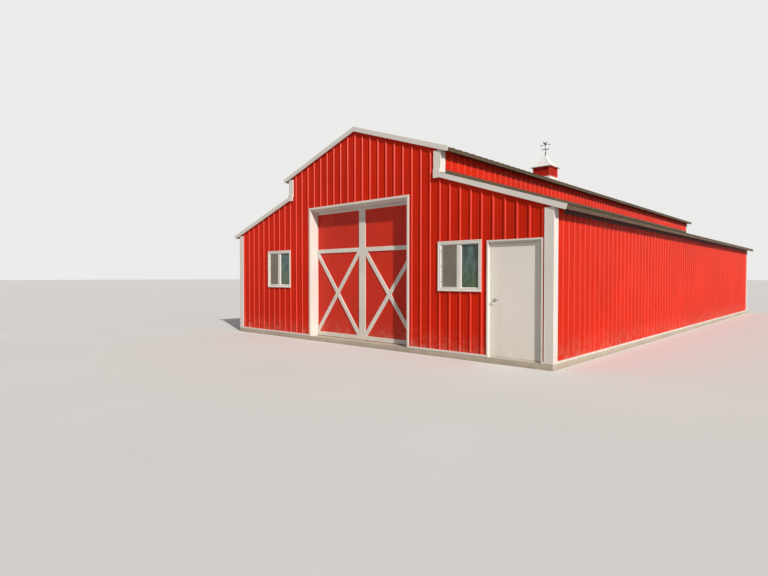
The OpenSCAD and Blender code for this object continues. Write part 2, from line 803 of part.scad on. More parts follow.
// Leaf with the middle knuckle of its three hinges
module side_door_leaf() {
    color("#ddd6c8") {
        difference() {
            box([side_leaf_l, side_leaf_r], [frame_y, frame_y + side_leaf_t], [side_leaf_foot, side_leaf_top]);
            translate([lever_x, frame_y - 1, slab_h + lever_z]) rotate([-90, 0, 0])
                cylinder(r = spindle_r + run_gap, h = side_leaf_t + 2, $fn = 48);
        }
        for (z = hinge_feet) translate([0, 0, z + hinge_h / 4 + run_gap]) difference() {
            union() {
                translate([hinge_x, hinge_y, 0])
                    cylinder(r = knuckle_r, h = hinge_h / 2 - 2 * run_gap, $fn = 32);
                box([hinge_x - knuckle_r, side_leaf_r], [hinge_y, frame_y], [0, hinge_h / 2 - 2 * run_gap]);
            }
            translate([hinge_x, hinge_y, -1]) cylinder(r = pin_r + run_gap, h = hinge_h, $fn = 32);
        }
    }
}

// Round roses on both faces of the leaf, round the lever's spindle
module side_door_roses() {
    color(STEEL) translate([lever_x, frame_y - rose_t, slab_h + lever_z]) rotate([-90, 0, 0])
    difference() {
        union() {
            cylinder(r = rose_r, h = rose_t, $fn = 48);
            translate([0, 0, rose_t + side_leaf_t]) cylinder(r = rose_r, h = rose_t, $fn = 48);
        }
        translate([0, 0, -1]) cylinder(r = spindle_r + run_gap, h = side_leaf_t + 2 * rose_t + 2, $fn = 48);
    }
}

// Levers on both faces, joined by the spindle through the leaf
module side_door_lever() {
    bar = 13;
    neck = 52;
    reach = side_leaf_t + 2 * neck;
    color(STEEL) translate([lever_x, frame_y - neck, slab_h + lever_z]) {
        rotate([-90, 0, 0]) cylinder(r = spindle_r, h = reach, $fn = 48);
        for (y = [-bar + 2, reach - 2]) translate([-spindle_r, y, -spindle_r])
            cube([lever_l, bar, 2 * spindle_r]);
    }
}

// Two-sash sliding window: an outer frame with its flange, and the meeting stile
module window_unit(side) {
    x = side * window_x;
    translate([x, 0, 0]) {
        across(front - trim_t, trim_t) difference() {
            translate([-window_w / 2, window_foot]) square([window_w, window_h]);
            translate([-window_w / 2 + window_face, window_foot + window_face])
                square([window_w - 2 * window_face, window_h - 2 * window_face]);
        }
        across(front, girt_in) difference() {
            translate([-hole_w / 2, window_foot + flange_w]) square([hole_w, hole_h]);
            translate([-window_w / 2 + window_face, window_foot + window_face])
                square([window_w - 2 * window_face, window_h - 2 * window_face]);
        }
        box([-mullion_w / 2, mullion_w / 2], [front + stile_y, front + pane_y],
            [window_foot + window_face, window_top - window_face]);
    }
}
module left_window() { color(WHITE) window_unit(-1); }
module right_window() { color(WHITE) window_unit(1); }

module window_glass() {
    color("#9fb4bd") for (side = [-1, 1])
        box([side * window_x - window_w / 2 + window_face, side * window_x + window_w / 2 - window_face],
            [front + pane_y, front + pane_y + glass_t], [window_foot + window_face, window_top - window_face]);
}

// White saddle that fits over the ridge and carries the cupola
module cupola_saddle() {
    skirt = cupola_w / 2 + 40;
    neck = cupola_w / 2 - 2;
    wall = 30;
    skirt_h = 60;
    color(WHITE) difference() {
        union() {
            across(-skirt, 2 * skirt) polygon([[0, saddle_foot], [skirt, saddle_foot - skirt * slope],
                [skirt, saddle_foot - skirt * slope + skirt_h], [neck, saddle_foot + skirt_h + 10],
                [-neck, saddle_foot + skirt_h + 10], [-skirt, saddle_foot - skirt * slope + skirt_h],
                [-skirt, saddle_foot - skirt * slope]]);
            box([-neck, neck], [-neck, neck], [saddle_foot + skirt_h, saddle_top]);
        }
        box([wall - neck, neck - wall], [wall - neck, neck - wall], [cap_top - skirt, saddle_top + 1]);
    }
}

// Corner posts, top and bottom rails and sloping louvres on the four sides
module cupola_body() {
    half = cupola_w / 2;
    rail = 30;
    recess = 8;
    lip = 10;
    depth = 34;
    lap = 6;
    step = (cupola_h - 2 * rail) / louvres;
    color(RED) translate([0, 0, saddle_top]) {
        for (a = [0 : 90 : 270]) rotate(a) {
            translate([half - cupola_post, half - cupola_post, 0]) cube([cupola_post, cupola_post, cupola_h]);
            for (z = [0, cupola_h - rail]) translate([-half, half - rail, z]) cube([cupola_w, rail, rail]);
            for (i = [0 : louvres - 1]) translate([0, 0, rail + i * step]) rotate([90, 0, 90])
                translate([0, 0, -half + cupola_post - 1]) linear_extrude(cupola_w - 2 * cupola_post + 2)
                    polygon([[half - recess, 0], [half, 0], [half, lip], [half - depth, step + lap],
                        [half - depth - recess, step + lap]]);
        }
    }
}

// Flared roof: one concave profile cut both ways
module cupola_roof() {
    half = cupola_roof_w / 2;
    peak = 14;
    flare = 1.45;
    steps = 7;
    curve = [for (i = [0 : steps]) let (t = i / steps)
        [half * (1 - t) + peak * t, roof_lip + cupola_roof_h * pow(t, flare)]];
    far = [for (i = [steps : -1 : 0]) [-curve[i][0], curve[i][1]]];
    outline = concat([[half, 0]], curve, far, [[-half, 0]]);
    color(WHITE) translate([0, 0, cupola_top]) intersection() {
        across(-half, 2 * half) polygon(outline);
        rotate(90) across(-half, 2 * half) polygon(outline);
    }
}

// Fixed rod with four compass arms
module vane_rod() {
    z = vane_z + roof_lip;
    collar_r = 22;
    collar_h = 14;
    arm = 10;
    tab_l = 28;
    tab_t = 8;
    tab_h = 40;
    color("#2b2f33") {
        translate([0, 0, z]) cylinder(r = rod_r, h = rod_h, $fn = 24);
        translate([0, 0, z]) cylinder(r = collar_r, h = collar_h, $fn = 32);
        for (a = [0 : 90 : 270]) rotate(a) {
            translate([0, -arm / 2, z + compass_z]) cube([compass_arm, arm, arm]);
            translate([compass_arm, -tab_t / 2, z + compass_z + (arm - tab_h) / 2])
                cube([tab_l, tab_t, tab_h]);
        }
    }
}

// Turning arrow with a traditional cockerel, on a sleeve over the rod
module vane_arrow() {
    rod_foot = vane_z + roof_lip;
    sleeve_z = rod_foot + rod_h - sleeve_h;
    bore_top = sleeve_h + run_gap;
    color("#2b2f33") {
        difference() {
            translate([0, 0, sleeve_z]) cylinder(r = rod_r + 6, h = sleeve_h + 15, $fn = 32);
            translate([0, 0, sleeve_z - 1]) cylinder(r = rod_r + run_gap, h = bore_top + 1, $fn = 32);
        }
        translate([0, 0, sleeve_z]) across(-4, 8) difference() {
            translate([0, sleeve_h / 3]) {
                translate([-arrow_l / 2, 0]) square([arrow_l, 10]);
                translate([arrow_l / 2, 5]) polygon([[-40, -24], [20, 0], [-40, 24]]);
                translate([-arrow_l / 2, 5]) polygon([[0, -22], [50, 0], [0, 22], [-14, 22], [-14, -22]]);
                polygon([[-20, 8], [20, 8], [34, 40], [58, 78], [66, 104], [50, 112], [40, 90], [8, 66],
                    [-30, 78], [-52, 128], [-84, 118], [-74, 70], [-46, 38]]);
            }
            translate([-rod_r - run_gap, -1]) square([2 * (rod_r + run_gap), bore_top + 1]);
        }
    }
}

slab();
base_trim();
front_wall_left();
front_wall_right();
front_wall_over_doors();
front_wall_side_door();
back_wall();
left_wall();
right_wall();
left_raised_wall();
right_raised_wall();
left_lower_roof();
right_lower_roof();
left_upper_roof();
right_upper_roof();
ridge_cap();
front_rakes();
back_rakes();
lower_eave_trims();
upper_eave_trims();
corner_trims();
raised_corner_trims();
doorway_trim();
left_side_frame();
right_side_frame();
front_frame_left();
front_frame_right();
doorway_header();
back_frame();
left_aisle_frame();
right_aisle_frame();
lower_roof_frame();
upper_roof_frame();
roof_ties();
door_track();
left_door_leaf();
left_door_boards();
left_door_hangers();
right_door_leaf();
right_door_boards();
right_door_hangers();
side_door_trim();
side_door_frame();
side_door_leaf();
side_door_roses();
side_door_lever();
left_window();
right_window();
window_glass();
cupola_saddle();
cupola_body();
cupola_roof();
vane_rod();
vane_arrow();
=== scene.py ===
"""Looks of a red raised-centre barn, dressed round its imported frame. Lengths are in metres.

The solids keep their shapes and get their materials here. What is added is finer than the solids: screws,
minor beads, laps, hems, flashings, seals, mitred boards, sashes and the like, each riding its own body.
"""

import math
import random

import bmesh
import bpy
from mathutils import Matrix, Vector


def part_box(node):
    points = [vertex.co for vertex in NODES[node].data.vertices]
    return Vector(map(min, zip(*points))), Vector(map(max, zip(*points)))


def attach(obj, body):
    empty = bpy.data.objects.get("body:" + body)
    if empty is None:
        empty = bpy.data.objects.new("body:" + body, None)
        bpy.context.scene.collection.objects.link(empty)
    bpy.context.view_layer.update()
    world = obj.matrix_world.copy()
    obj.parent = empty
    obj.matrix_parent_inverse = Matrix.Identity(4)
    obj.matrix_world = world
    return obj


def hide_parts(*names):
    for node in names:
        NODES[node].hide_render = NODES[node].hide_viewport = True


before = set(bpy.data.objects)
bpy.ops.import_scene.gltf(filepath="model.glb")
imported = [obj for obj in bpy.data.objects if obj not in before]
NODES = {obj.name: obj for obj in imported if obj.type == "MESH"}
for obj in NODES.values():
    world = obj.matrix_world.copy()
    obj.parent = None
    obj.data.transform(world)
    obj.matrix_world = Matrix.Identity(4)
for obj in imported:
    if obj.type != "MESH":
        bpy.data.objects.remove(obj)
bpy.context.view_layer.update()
rng = random.Random(11)

# Sizes of the building, as its solids have them
HALF_W, FRONT, CENTRE_HALF = 4.540, -9.144, 2.308
EAVE, CENTRE_EAVE, SLOPE = 2.685, 3.948, 1 / 3
PITCH = math.atan(SLOPE)
SLAB, SIDING_Z = 0.100, 0.135
RIB_PITCH, RIB_H, RIB_FOOT, RIB_CREST = 0.2286, 0.019, 0.046, 0.020
SHEET = 0.006
SIDING = RIB_H + SHEET
FIRST_SIDE_RIB, CORNER = 0.390, 0.150
OPENING_HALF, DOORWAY_HALF, TRIM_TOP = 1.540, 1.500, 3.125
LOWER_EDGE, UPPER_EDGE = HALF_W + 0.190, CENTRE_HALF + 0.160
RAKE_DROP, RAKE_T, TRIM_T, EAVE_DROP = 0.065, 0.030, 0.005, 0.052
CAP_WING, CAP_LIFT = 0.160, 0.0062
SIDE_TRIM_L, SIDE_TRIM_R, SIDE_TRIM_TOP = 3.3205, 4.3595, 2.138
LEAF_L, LEAF_R, LEAF_FOOT, LEAF_TOP, LEAF_T = 3.3865, 4.2935, 0.126, 2.072, 0.044
LEAF_Y = FRONT + 0.055
LEVER_X, LEVER_Z = LEAF_L + 0.062, 1.100
WINDOW_X, WINDOW_W, WINDOW_FOOT, WINDOW_TOP = 2.735, 0.950, 1.239, 2.164
WINDOW_FACE, PANE_Y, MULLION_HALF = 0.058, 0.034, 0.030
MID_RAIL = SLAB + 2.008

# Heights of the girts and distances of the purlins from the middle: the screws stand in rows on them
GIRTS = [0.205 + 0.700 * i for i in range(4)]
GABLE_GIRTS, GABLE_TOP_ROW = [3.195, 3.735], 0.105
EAVE_ROW, RAISED_ROWS = 2.600, [3.490, 3.620, 3.880]
LOWER_PURLINS = [4.494 - 0.690 * i for i in range(4)]
UPPER_PURLINS = [0.071, 1.167, 2.262]
CAP_ROW = 0.135

# Fine pieces: how deep they sink into what carries them, and how far they stay from its edges
SINK, CLEAR = 0.001, 0.002


def lower_z(x):
    return EAVE + (HALF_W - abs(x)) * SLOPE


def upper_z(x):
    return CENTRE_EAVE + (CENTRE_HALF - abs(x)) * SLOPE


def gable_top(x):
    return (upper_z(x) if abs(x) < CENTRE_HALF else lower_z(x)) - 0.004


RAISED_FOOT = lower_z(CENTRE_HALF) + 0.045


def rib_lines(a, b, start):
    """Rib centres between a and b that keep the rhythm of a rib at start."""
    edge = RIB_FOOT / 2 + 0.001
    first = math.ceil((a + edge - start) / RIB_PITCH)
    last = math.floor((b - edge - start) / RIB_PITCH)
    return [start + i * RIB_PITCH for i in range(first, last + 1)]


FRONT_RIBS = rib_lines(SIDING - HALF_W, HALF_W - SIDING, 0.0)
SIDE_RIBS = rib_lines(FRONT + CORNER, -FRONT - CORNER, FRONT + FIRST_SIDE_RIB)
ROOF_RIBS = rib_lines(FRONT, -FRONT, 0.0)


# Places on the skin: u runs along it, v stands out from the flat of the sheet, w runs up it or down the slope
def on_front(u, v, w):
    return (u, FRONT + RIB_H - v, w)


def on_back(u, v, w):
    return (u, -FRONT - RIB_H + v, w)


def on_side(side, plane):
    return lambda u, v, w: (side * (plane - RIB_H + v), u, w)


def on_roof(side, under):
    out = math.sin(PITCH), math.cos(PITCH)
    return lambda u, v, w: (side * (w + (SHEET + v) * out[0]), u, under(w) + (SHEET + v) * out[1])


def on_ridge_cap(side):
    place = on_roof(side, lambda x: upper_z(0) + CAP_LIFT / math.cos(PITCH) - x * SLOPE)
    return lambda u, v, w: place(u, v + 0.018, w)


# Places for a bar: t runs along it, u and v across it, with v or u pressed flat where it lies on a face
def upright(x, y, flat=1.0):
    return lambda t, u, v: (x + u, y + v * flat, t)


def level(y, z, flat=1.0):
    return lambda t, u, v: (t, y + u * flat, z + v)


def at(value, u):
    return value(u) if callable(value) else value


class Shape:
    """Gathers faces, then makes one object of them."""

    def __init__(self):
        self.verts, self.faces, self.marks = [], [], []

    def loft(self, rings, mark=0):
        """Rings of points joined into a closed skin; mark is the number of its material."""
        n, base = len(rings[0]), len(self.verts)
        faces = [tuple(range(n)), tuple(range(len(rings) * n - n, len(rings) * n))]
        for r in range(len(rings) - 1):
            for i in range(n):
                j = (i + 1) % n
                faces.append((r * n + i, r * n + j, r * n + n + j, r * n + n + i))
        self.verts += [tuple(p) for ring in rings for p in ring]
        self.faces += [tuple(base + i for i in f) for f in faces]
        self.marks += [mark] * len(faces)

    def prism(self, outline, a, b, place):
        """An outline in u and v, swept along w from a to b, which may be numbers or functions of u."""
        self.loft([[place(u, v, at(w, u)) for u, v in outline] for w in (a, b)])

    def plate(self, outline, back, face, place, chamfer=0.0, mark=0):
        """A convex outline in u and w, standing out from back to face, with a chamfered front edge."""
        rings = [[place(u, back, w) for u, w in outline]]
        if chamfer:
            rings.append([place(u, face - chamfer, w) for u, w in outline])
        rings.append([place(u, face, w) for u, w in inset(outline, chamfer)])
        self.loft(rings, mark)

    def block(self, lo, hi, chamfer=0.0):
        """A box whose edges towards -Y are chamfered."""
        outline = rectangle(lo[0], hi[0], lo[2], hi[2])
        self.plate(outline, 0, hi[1] - lo[1], lambda u, v, w: (u, hi[1] - v, w), chamfer)

    def bars(self, corners, front, back, chamfer=0.0):
        """Boxes between front and back, each given by its lower left and upper right corners."""
        for lo, hi in corners:
            self.block((lo[0], front, lo[1]), (hi[0], back, hi[1]), chamfer)

    def rod(self, place, a, b, radius, sides=8):
        """A thin round bar from a to b, where place gives its points."""
        ring = [(radius * math.cos(math.tau * i / sides), radius * math.sin(math.tau * i / sides))
                for i in range(sides)]
        self.loft([[place(t, u, v) for u, v in ring] for t in (a, b)])

    def turned(self, profile, centre, along, sides):
        """A profile of (radius, height) turned about an axis through centre."""
        z = Vector(along).normalized()
        x = z.orthogonal().normalized()
        y = z.cross(x)
        turns = [math.tau * i / sides for i in range(sides)]
        self.loft([[Vector(centre) + z * h + (x * math.cos(t) + y * math.sin(t)) * r for t in turns]
                   for r, h in profile])

    def sweep(self, path, size, sides):
        """A rounded bar along path; size(i) gives its half width and half height there."""
        path = [Vector(p) for p in path]
        rings = []
        for i, p in enumerate(path):
            ahead = (path[min(i + 1, len(path) - 1)] - path[max(i - 1, 0)]).normalized()
            side = ahead.cross(Vector((0, 0, 1))).normalized()
            rise = side.cross(ahead)
            w, h = size(i)
            rings.append([p + side * w * math.cos(t) + rise * h * math.sin(t)
                          for t in (math.tau * k / sides for k in range(sides))])
        self.loft(rings)

    def make(self, name, mats, body, slot, replaces=(), smooth=0.0):
        mesh = bpy.data.meshes.new(name)
        mesh.from_pydata(self.verts, [], self.faces)
        for m in mats:
            mesh.materials.append(m)
        mesh.polygons.foreach_set("material_index", self.marks)
        bm = bmesh.new()
        bm.from_mesh(mesh)
        bmesh.ops.recalc_face_normals(bm, faces=bm.faces)
        bm.to_mesh(mesh)
        bm.free()
        if smooth:
            mesh.shade_smooth()
            mesh.set_sharp_from_angle(angle=smooth)
        obj = bpy.data.objects.new(name, mesh)
        bpy.context.scene.collection.objects.link(obj)
        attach(obj, body)
        if replaces:
            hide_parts(*replaces)


def rectangle(left, right, foot, top):
    return [(left, foot), (right, foot), (right, top), (left, top)]


def border(left, right, foot, top, w, w_left=None, full=False):
    """Corners of a rectangle's bars: left, right, foot and top, the last two tucked in or full."""
    w_left = w_left or w
    a, b = (left, right) if full else (left + w_left, right - w)
    return [((left, foot), (left + w_left, top)), ((right - w, foot), (right, top)),
            ((a, foot), (b, foot + w)), ((a, top - w), (b, top))]


def inset(outline, d):
    """A convex outline moved in by d on every side."""
    if not d:
        return list(outline)
    n = len(outline)
    pairs = [(outline[i], outline[(i + 1) % n]) for i in range(n)]
    turn = 1 if sum(p[0] * q[1] - q[0] * p[1] for p, q in pairs) > 0 else -1
    lines = []
    for (x0, z0), (x1, z1) in pairs:
        run = math.hypot(x1 - x0, z1 - z0)
        nx, nz = -(z1 - z0) / run * turn, (x1 - x0) / run * turn
        lines.append((nx, nz, nx * x0 + nz * z0 + d))
    out = []
    for i in range(n):
        (a, b, e), (c, f, g) = lines[i - 1], lines[i]
        det = a * f - b * c
        out.append(((e * f - b * g) / det, (a * g - e * c) / det) if abs(det) > 1e-6 else outline[i])
    return out


def clip(outline, a, b, c):
    """The part of a convex outline where a*u + b*w <= c."""
    out = []
    for i, p in enumerate(outline):
        q = outline[(i + 1) % len(outline)]
        dp, dq = a * p[0] + b * p[1] - c, a * q[0] + b * q[1] - c
        if dp <= 0:
            out.append(p)
        if dp * dq < 0:
            t = dp / (dp - dq)
            out.append((p[0] + (q[0] - p[0]) * t, p[1] + (q[1] - p[1]) * t))
    return out


def shifted(outline, u):
    return [(a + u, b) for a, b in outline]


class Finish:
    """One material and the nodes that make it."""

    def __init__(self, name, rough, metal=0.0, coat=0.0, coat_rough=0.2, spec=0.5, lift=(0, 0, 0)):
        self.mat = bpy.data.materials.new(name)
        self.mat.use_nodes = True
        self.tree = self.mat.node_tree
        self.shader = self.tree.nodes["Principled BSDF"]
        for socket, value in (("Roughness", rough), ("Metallic", metal), ("Specular IOR Level", spec),
                              ("Coat Weight", coat), ("Coat Roughness", coat_rough)):
            self.shader.inputs[socket].default_value = value
        self.place = self.node("ShaderNodeTexCoord").outputs["Object"]
        self.split = self.node("ShaderNodeSeparateXYZ")
        self.wire(self.place, self.split.inputs[0])
        self.height = None
        self.lift = lift

    def node(self, kind, **settings):
        n = self.tree.nodes.new(kind)
        for k, v in settings.items():
            setattr(n, k, v)
        return n

    def wire(self, a, b):
        self.tree.links.new(a, b)

    def stretched(self, scale, turn=0.0):
        m = self.node("ShaderNodeMapping")
        m.inputs["Scale"].default_value = scale
        m.inputs["Rotation"].default_value = (0, turn, 0)
        m.inputs["Location"].default_value = self.lift
        self.wire(self.place, m.inputs["Vector"])
        return m.outputs["Vector"]

    def noise(self, scale, detail=3.0, rough=0.55, stretch=(1, 1, 1), turn=0.0):
        n = self.node("ShaderNodeTexNoise")
        n.inputs["Scale"].default_value = scale
        n.inputs["Detail"].default_value = detail
        n.inputs["Roughness"].default_value = rough
        self.wire(self.stretched(stretch, turn), n.inputs["Vector"])
        return n.outputs[0]

    def cells(self, scale, stretch=(1, 1, 1)):
        n = self.node("ShaderNodeTexVoronoi")
        n.inputs["Scale"].default_value = scale
        self.wire(self.stretched(stretch), n.inputs["Vector"])
        return n.outputs["Distance"]

    def between(self, value, low, high, to_low=0.0, to_high=1.0):
        n = self.node("ShaderNodeMapRange")
        for name, v in zip(("From Min", "From Max", "To Min", "To Max"), (low, high, to_low, to_high)):
            n.inputs[name].default_value = v
        self.wire(value, n.inputs["Value"])
        return n.outputs[0]

    def times(self, a, b, how="MULTIPLY"):
        n = self.node("ShaderNodeMath", operation=how)
        for i, v in enumerate((a, b)):
            if isinstance(v, (int, float)):
                n.inputs[i].default_value = v
            else:
                self.wire(v, n.inputs[i])
        return n.outputs[0]

    def mix(self, fac, a, b):
        n = self.node("ShaderNodeMix", data_type="RGBA")
        self.wire(fac, n.inputs["Factor"])
        for socket, v in ((n.inputs[6], a), (n.inputs[7], b)):
            if isinstance(v, tuple):
                socket.default_value = (*v, 1)
            else:
                self.wire(v, socket)
        return n.outputs[2]

    def colour(self, value):
        self.wire(value, self.shader.inputs["Base Color"])

    def rough(self, value, low, high):
        self.wire(self.between(value, 0.3, 0.7, low, high), self.shader.inputs["Roughness"])

    def bump(self, value, distance, strength=1.0):
        n = self.node("ShaderNodeBump")
        n.inputs["Distance"].default_value = distance
        n.inputs["Strength"].default_value = strength
        self.wire(value, n.inputs["Height"])
        if self.height is not None:
            self.wire(self.height, n.inputs["Normal"])
        self.height = n.outputs["Normal"]
        self.wire(self.height, self.shader.inputs["Normal"])

    def near_ground(self, reach):
        """1 at the slab's top and 0 at reach above it, squared so that most of it lies low."""
        foot = self.between(self.split.outputs["Z"], SLAB, SLAB + reach, 1.0, 0.0)
        return self.times(foot, foot)


def shade(colour, factor):
    return tuple(min(1.0, c * factor) for c in colour)


DUST, GRIME, SOIL = (0.62, 0.47, 0.36), (0.50, 0.39, 0.29), (0.42, 0.31, 0.21)
AGED_WOOD, KNOT = (0.40, 0.30, 0.20), (0.13, 0.065, 0.03)


def coated(name, base, rough=0.42, dust=0.25, spread=0.10, wavy=0.0012, coat=0.0, spec=0.25):
    """Coated steel: patchy tint, rain streaks, dust splashed on the foot, waves in the sheet, fine grain."""
    m = Finish(name, rough, coat=coat, coat_rough=0.3, spec=spec)
    patch = m.noise(0.55, 3.0)
    streak = m.noise(5.0, 3.0, 0.6, (1, 1, 0.07))
    tint = m.mix(m.between(patch, 0.35, 0.65), shade(base, 1 - spread), shade(base, 1 + spread))
    tint = m.mix(m.between(streak, 0.52, 0.74, 0.0, 0.35), tint, shade(base, 1 - 2.2 * spread))
    fall = m.near_ground(0.55)
    splash = m.between(m.noise(7.0, 6.0, 0.7), 0.42, 0.72)
    fleck = m.between(m.noise(60.0, 3.0, 0.7), 0.60, 0.72)
    dusty = m.times(m.times(fall, splash), dust * 1.6)
    flecked = m.times(m.times(fall, fleck), dust)
    tint = m.mix(m.times(dusty, flecked, "ADD"), tint, DUST)
    chips = m.between(m.noise(34.0, 5.0, 0.75), 0.735, 0.76)
    m.colour(m.mix(m.times(chips, 0.5), tint, shade(base, 0.55)))
    m.rough(m.noise(3.0, 4.0), rough - 0.06, rough + 0.12)
    m.bump(m.noise(2.2, 2.0, 0.4, (1, 1, 0.5)), wavy)
    m.bump(m.noise(420.0, 2.0), 0.00012, 0.5)
    return m.mat


def timber(name, stretch, turn=0.0):
    """Sawn timber with the grain along the axis that stretch shrinks."""
    m = Finish(name, 0.75, lift=(3.1, 1.7, 0.4))
    base = (0.47, 0.31, 0.165)
    grain = m.noise(26.0, 5.0, 0.65, stretch, turn)
    fibre = m.noise(160.0, 3.0, 0.7, stretch, turn)
    patch = m.noise(1.3, 2.0, 0.5)
    knots = m.between(m.cells(2.6, tuple(0.35 if s < 0.5 else 1.5 for s in stretch)), 0.03, 0.09, 1.0, 0.0)
    tint = m.mix(m.between(grain, 0.32, 0.68), shade(base, 0.72), shade(base, 1.22))
    tint = m.mix(m.between(fibre, 0.45, 0.75, 0.0, 0.4), tint, shade(base, 0.6))
    tint = m.mix(m.between(patch, 0.35, 0.7, 0.0, 0.35), tint, AGED_WOOD)
    m.colour(m.mix(knots, tint, KNOT))
    m.rough(fibre, 0.66, 0.85)
    m.bump(grain, 0.0006, 0.6)
    m.bump(fibre, 0.0003, 0.6)
    return m.mat


def painted_wood(name, base, stretch):
    """Painted boards: brushed film, faint grain, worn spots and grime near the floor."""
    m = Finish(name, 0.5, spec=0.3)
    grain = m.noise(55.0, 4.0, 0.65, stretch)
    patch = m.noise(2.1, 4.0, 0.6)
    tint = m.mix(m.between(patch, 0.35, 0.68), shade(base, 0.9), shade(base, 1.04))
    tint = m.mix(m.between(grain, 0.5, 0.75, 0.0, 0.22), tint, shade(base, 0.74))
    grime = m.between(m.noise(12.0, 6.0, 0.7), 0.42, 0.7)
    tint = m.mix(m.times(m.times(m.near_ground(0.5), grime), 0.55), tint, GRIME)
    worn = m.between(m.noise(24.0, 6.0, 0.8), 0.70, 0.735)
    m.colour(m.mix(m.times(worn, 0.5), tint, shade(base, 0.6)))
    m.rough(patch, 0.44, 0.62)
    m.bump(grain, 0.0004, 0.55)
    return m.mat


def metal(name, base, rough, spangle, metallic=1.0, spread=0.16):
    """Bare metal with a crystal pattern and smears."""
    m = Finish(name, rough, metal=metallic)
    flake = m.cells(spangle)
    smear = m.noise(9.0, 5.0, 0.65)
    tint = m.mix(m.between(flake, 0.1, 0.75), shade(base, 1 + spread), shade(base, 1 - spread))
    m.colour(m.mix(m.between(smear, 0.5, 0.75, 0.0, 0.45), tint, shade(base, 0.62)))
    m.rough(smear, rough - 0.08, rough + 0.14)
    m.bump(m.noise(300.0, 2.0), 0.00008, 0.5)
    return m.mat


def concrete():
    """Weathered concrete, stained by soil where it meets the ground."""
    m = Finish("weathered_concrete", 0.85)
    base = (0.56, 0.49, 0.39)
    patch = m.noise(0.9, 5.0, 0.62)
    speck = m.noise(95.0, 4.0, 0.7)
    tint = m.mix(m.between(patch, 0.33, 0.68), shade(base, 0.80), shade(base, 1.12))
    tint = m.mix(m.between(speck, 0.42, 0.7, 0.0, 0.35), tint, shade(base, 0.62))
    soil = m.between(m.split.outputs["Z"], 0.0, 0.07, 1.0, 0.0)
    m.colour(m.mix(m.times(soil, m.between(m.noise(11.0, 5.0, 0.7), 0.3, 0.65)), tint, SOIL))
    m.rough(patch, 0.78, 0.92)
    m.bump(speck, 0.0016, 0.6)
    m.bump(m.noise(16.0, 4.0), 0.003, 0.4)
    return m.mat


def glass():
    """A pane whose colour holds a painted reflection: green below and blue above for the land and sky, broken
    by darker patches.
    """
    m = Finish("window_pane_painted_reflection", 0.03)
    m.shader.inputs["Transmission Weight"].default_value = 0.35
    m.shader.inputs["IOR"].default_value = 1.5
    # Painted reflection: darker patches, and a rise from green to blue with height, put into the pane's
    # colour.
    film = m.between(m.noise(6.0, 5.0, 0.65, (1, 1, 0.45)), 0.36, 0.56)
    height = m.between(m.split.outputs["Z"], 1.35, 2.10)
    tint = m.mix(height, (0.165, 0.260, 0.105), (0.175, 0.320, 0.350))
    m.colour(m.mix(film, (0.055, 0.105, 0.080), tint))
    m.rough(m.noise(18.0, 4.0), 0.02, 0.09)
    m.bump(m.noise(1.6, 1.0), 0.0012, 0.35)
    return m.mat


def screen():
    """Fine mesh, with its threads as bump."""
    m = Finish("insect_screen", 0.9)
    weave = m.noise(3.0, 3.0, 0.6)
    m.colour(m.mix(m.between(weave, 0.3, 0.7), (0.185, 0.165, 0.130), (0.265, 0.235, 0.190)))
    threads = m.node("ShaderNodeTexWave", bands_direction="Z")
    threads.inputs["Scale"].default_value = 110.0
    m.wire(m.place, threads.inputs["Vector"])
    m.bump(threads.outputs[0], 0.0003, 0.5)
    m.rough(weave, 0.82, 0.95)
    return m.mat


def rubber(name, base):
    """Rubber or foam, greyed where it wears."""
    m = Finish(name, 0.7)
    wear = m.noise(40.0, 4.0, 0.7)
    m.colour(m.mix(m.between(wear, 0.4, 0.75), base, shade(base, 2.6)))
    m.rough(wear, 0.6, 0.8)
    m.bump(wear, 0.0003, 0.5)
    return m.mat


BOARD_WHITE = (0.81, 0.765, 0.69)
red = coated("red_siding", (0.66, 0.021, 0.004), spec=0.08)
# The flanks' red is lighter than the flats': a painted highlight along the ribs, with a glossier finish.
red_flank_highlight = coated("red_siding_flank_highlight", (0.72, 0.034, 0.010), 0.40, spread=0.06, spec=0.50)
bronze = coated("bronze_roof", (0.105, 0.072, 0.042), 0.50, dust=0.12, spread=0.12, spec=0.18)
white = coated("white_trim", (0.81, 0.765, 0.70), 0.45, dust=0.30, spread=0.05, wavy=0.0006)
door_red = coated("red_door_face", (0.66, 0.034, 0.015), 0.38, dust=0.30, spread=0.08, wavy=0.0018, spec=0.15)
beige = coated("beige_door_face", (0.90, 0.845, 0.755), spread=0.04, wavy=0.0008)
frame_beige = coated("beige_door_frame", (0.80, 0.75, 0.66), 0.45, dust=0.30, spread=0.05, wavy=0.0004)
board_up = painted_wood("white_boards_upright", BOARD_WHITE, (1, 1, 0.06))
board_flat = painted_wood("white_boards_flat", BOARD_WHITE, (0.06, 1, 1))
vinyl = coated("white_window_profile", (0.84, 0.81, 0.75), 0.38, dust=0.12, spread=0.03, wavy=0.0003,
               coat=0.1)
cupola_white = coated("white_cupola_sheet", (0.83, 0.81, 0.77), dust=0.0, spread=0.05, wavy=0.0008)
cupola_red = painted_wood("red_louvres", (0.66, 0.026, 0.012), (0.06, 0.06, 1))
iron = metal("dark_iron", (0.030, 0.034, 0.040), 0.55, 80.0, 0.6, 0.3)
galvanised = metal("galvanised_steel", (0.52, 0.53, 0.54), 0.42, 55.0)
nickel = metal("satin_nickel", (0.40, 0.385, 0.36), 0.30, 260.0, spread=0.05)
timber_x = timber("timber_across", (0.05, 1, 1))
timber_y = timber("timber_along", (1, 0.05, 1))
timber_z = timber("timber_upright", (1, 1, 0.05))
timber_right = timber("timber_rafter_right", (0.05, 1, 1), PITCH)
timber_left = timber("timber_rafter_left", (0.05, 1, 1), -PITCH)
slab_mat = concrete()
pane = glass()
mesh_screen = screen()
black = rubber("black_rubber", (0.018, 0.018, 0.019))
# Dark foam of the eave closures, whose darkness also stands in for the shade under the eaves.
shade_foam = rubber("dark_foam_painted_shade", (0.030, 0.020, 0.020))


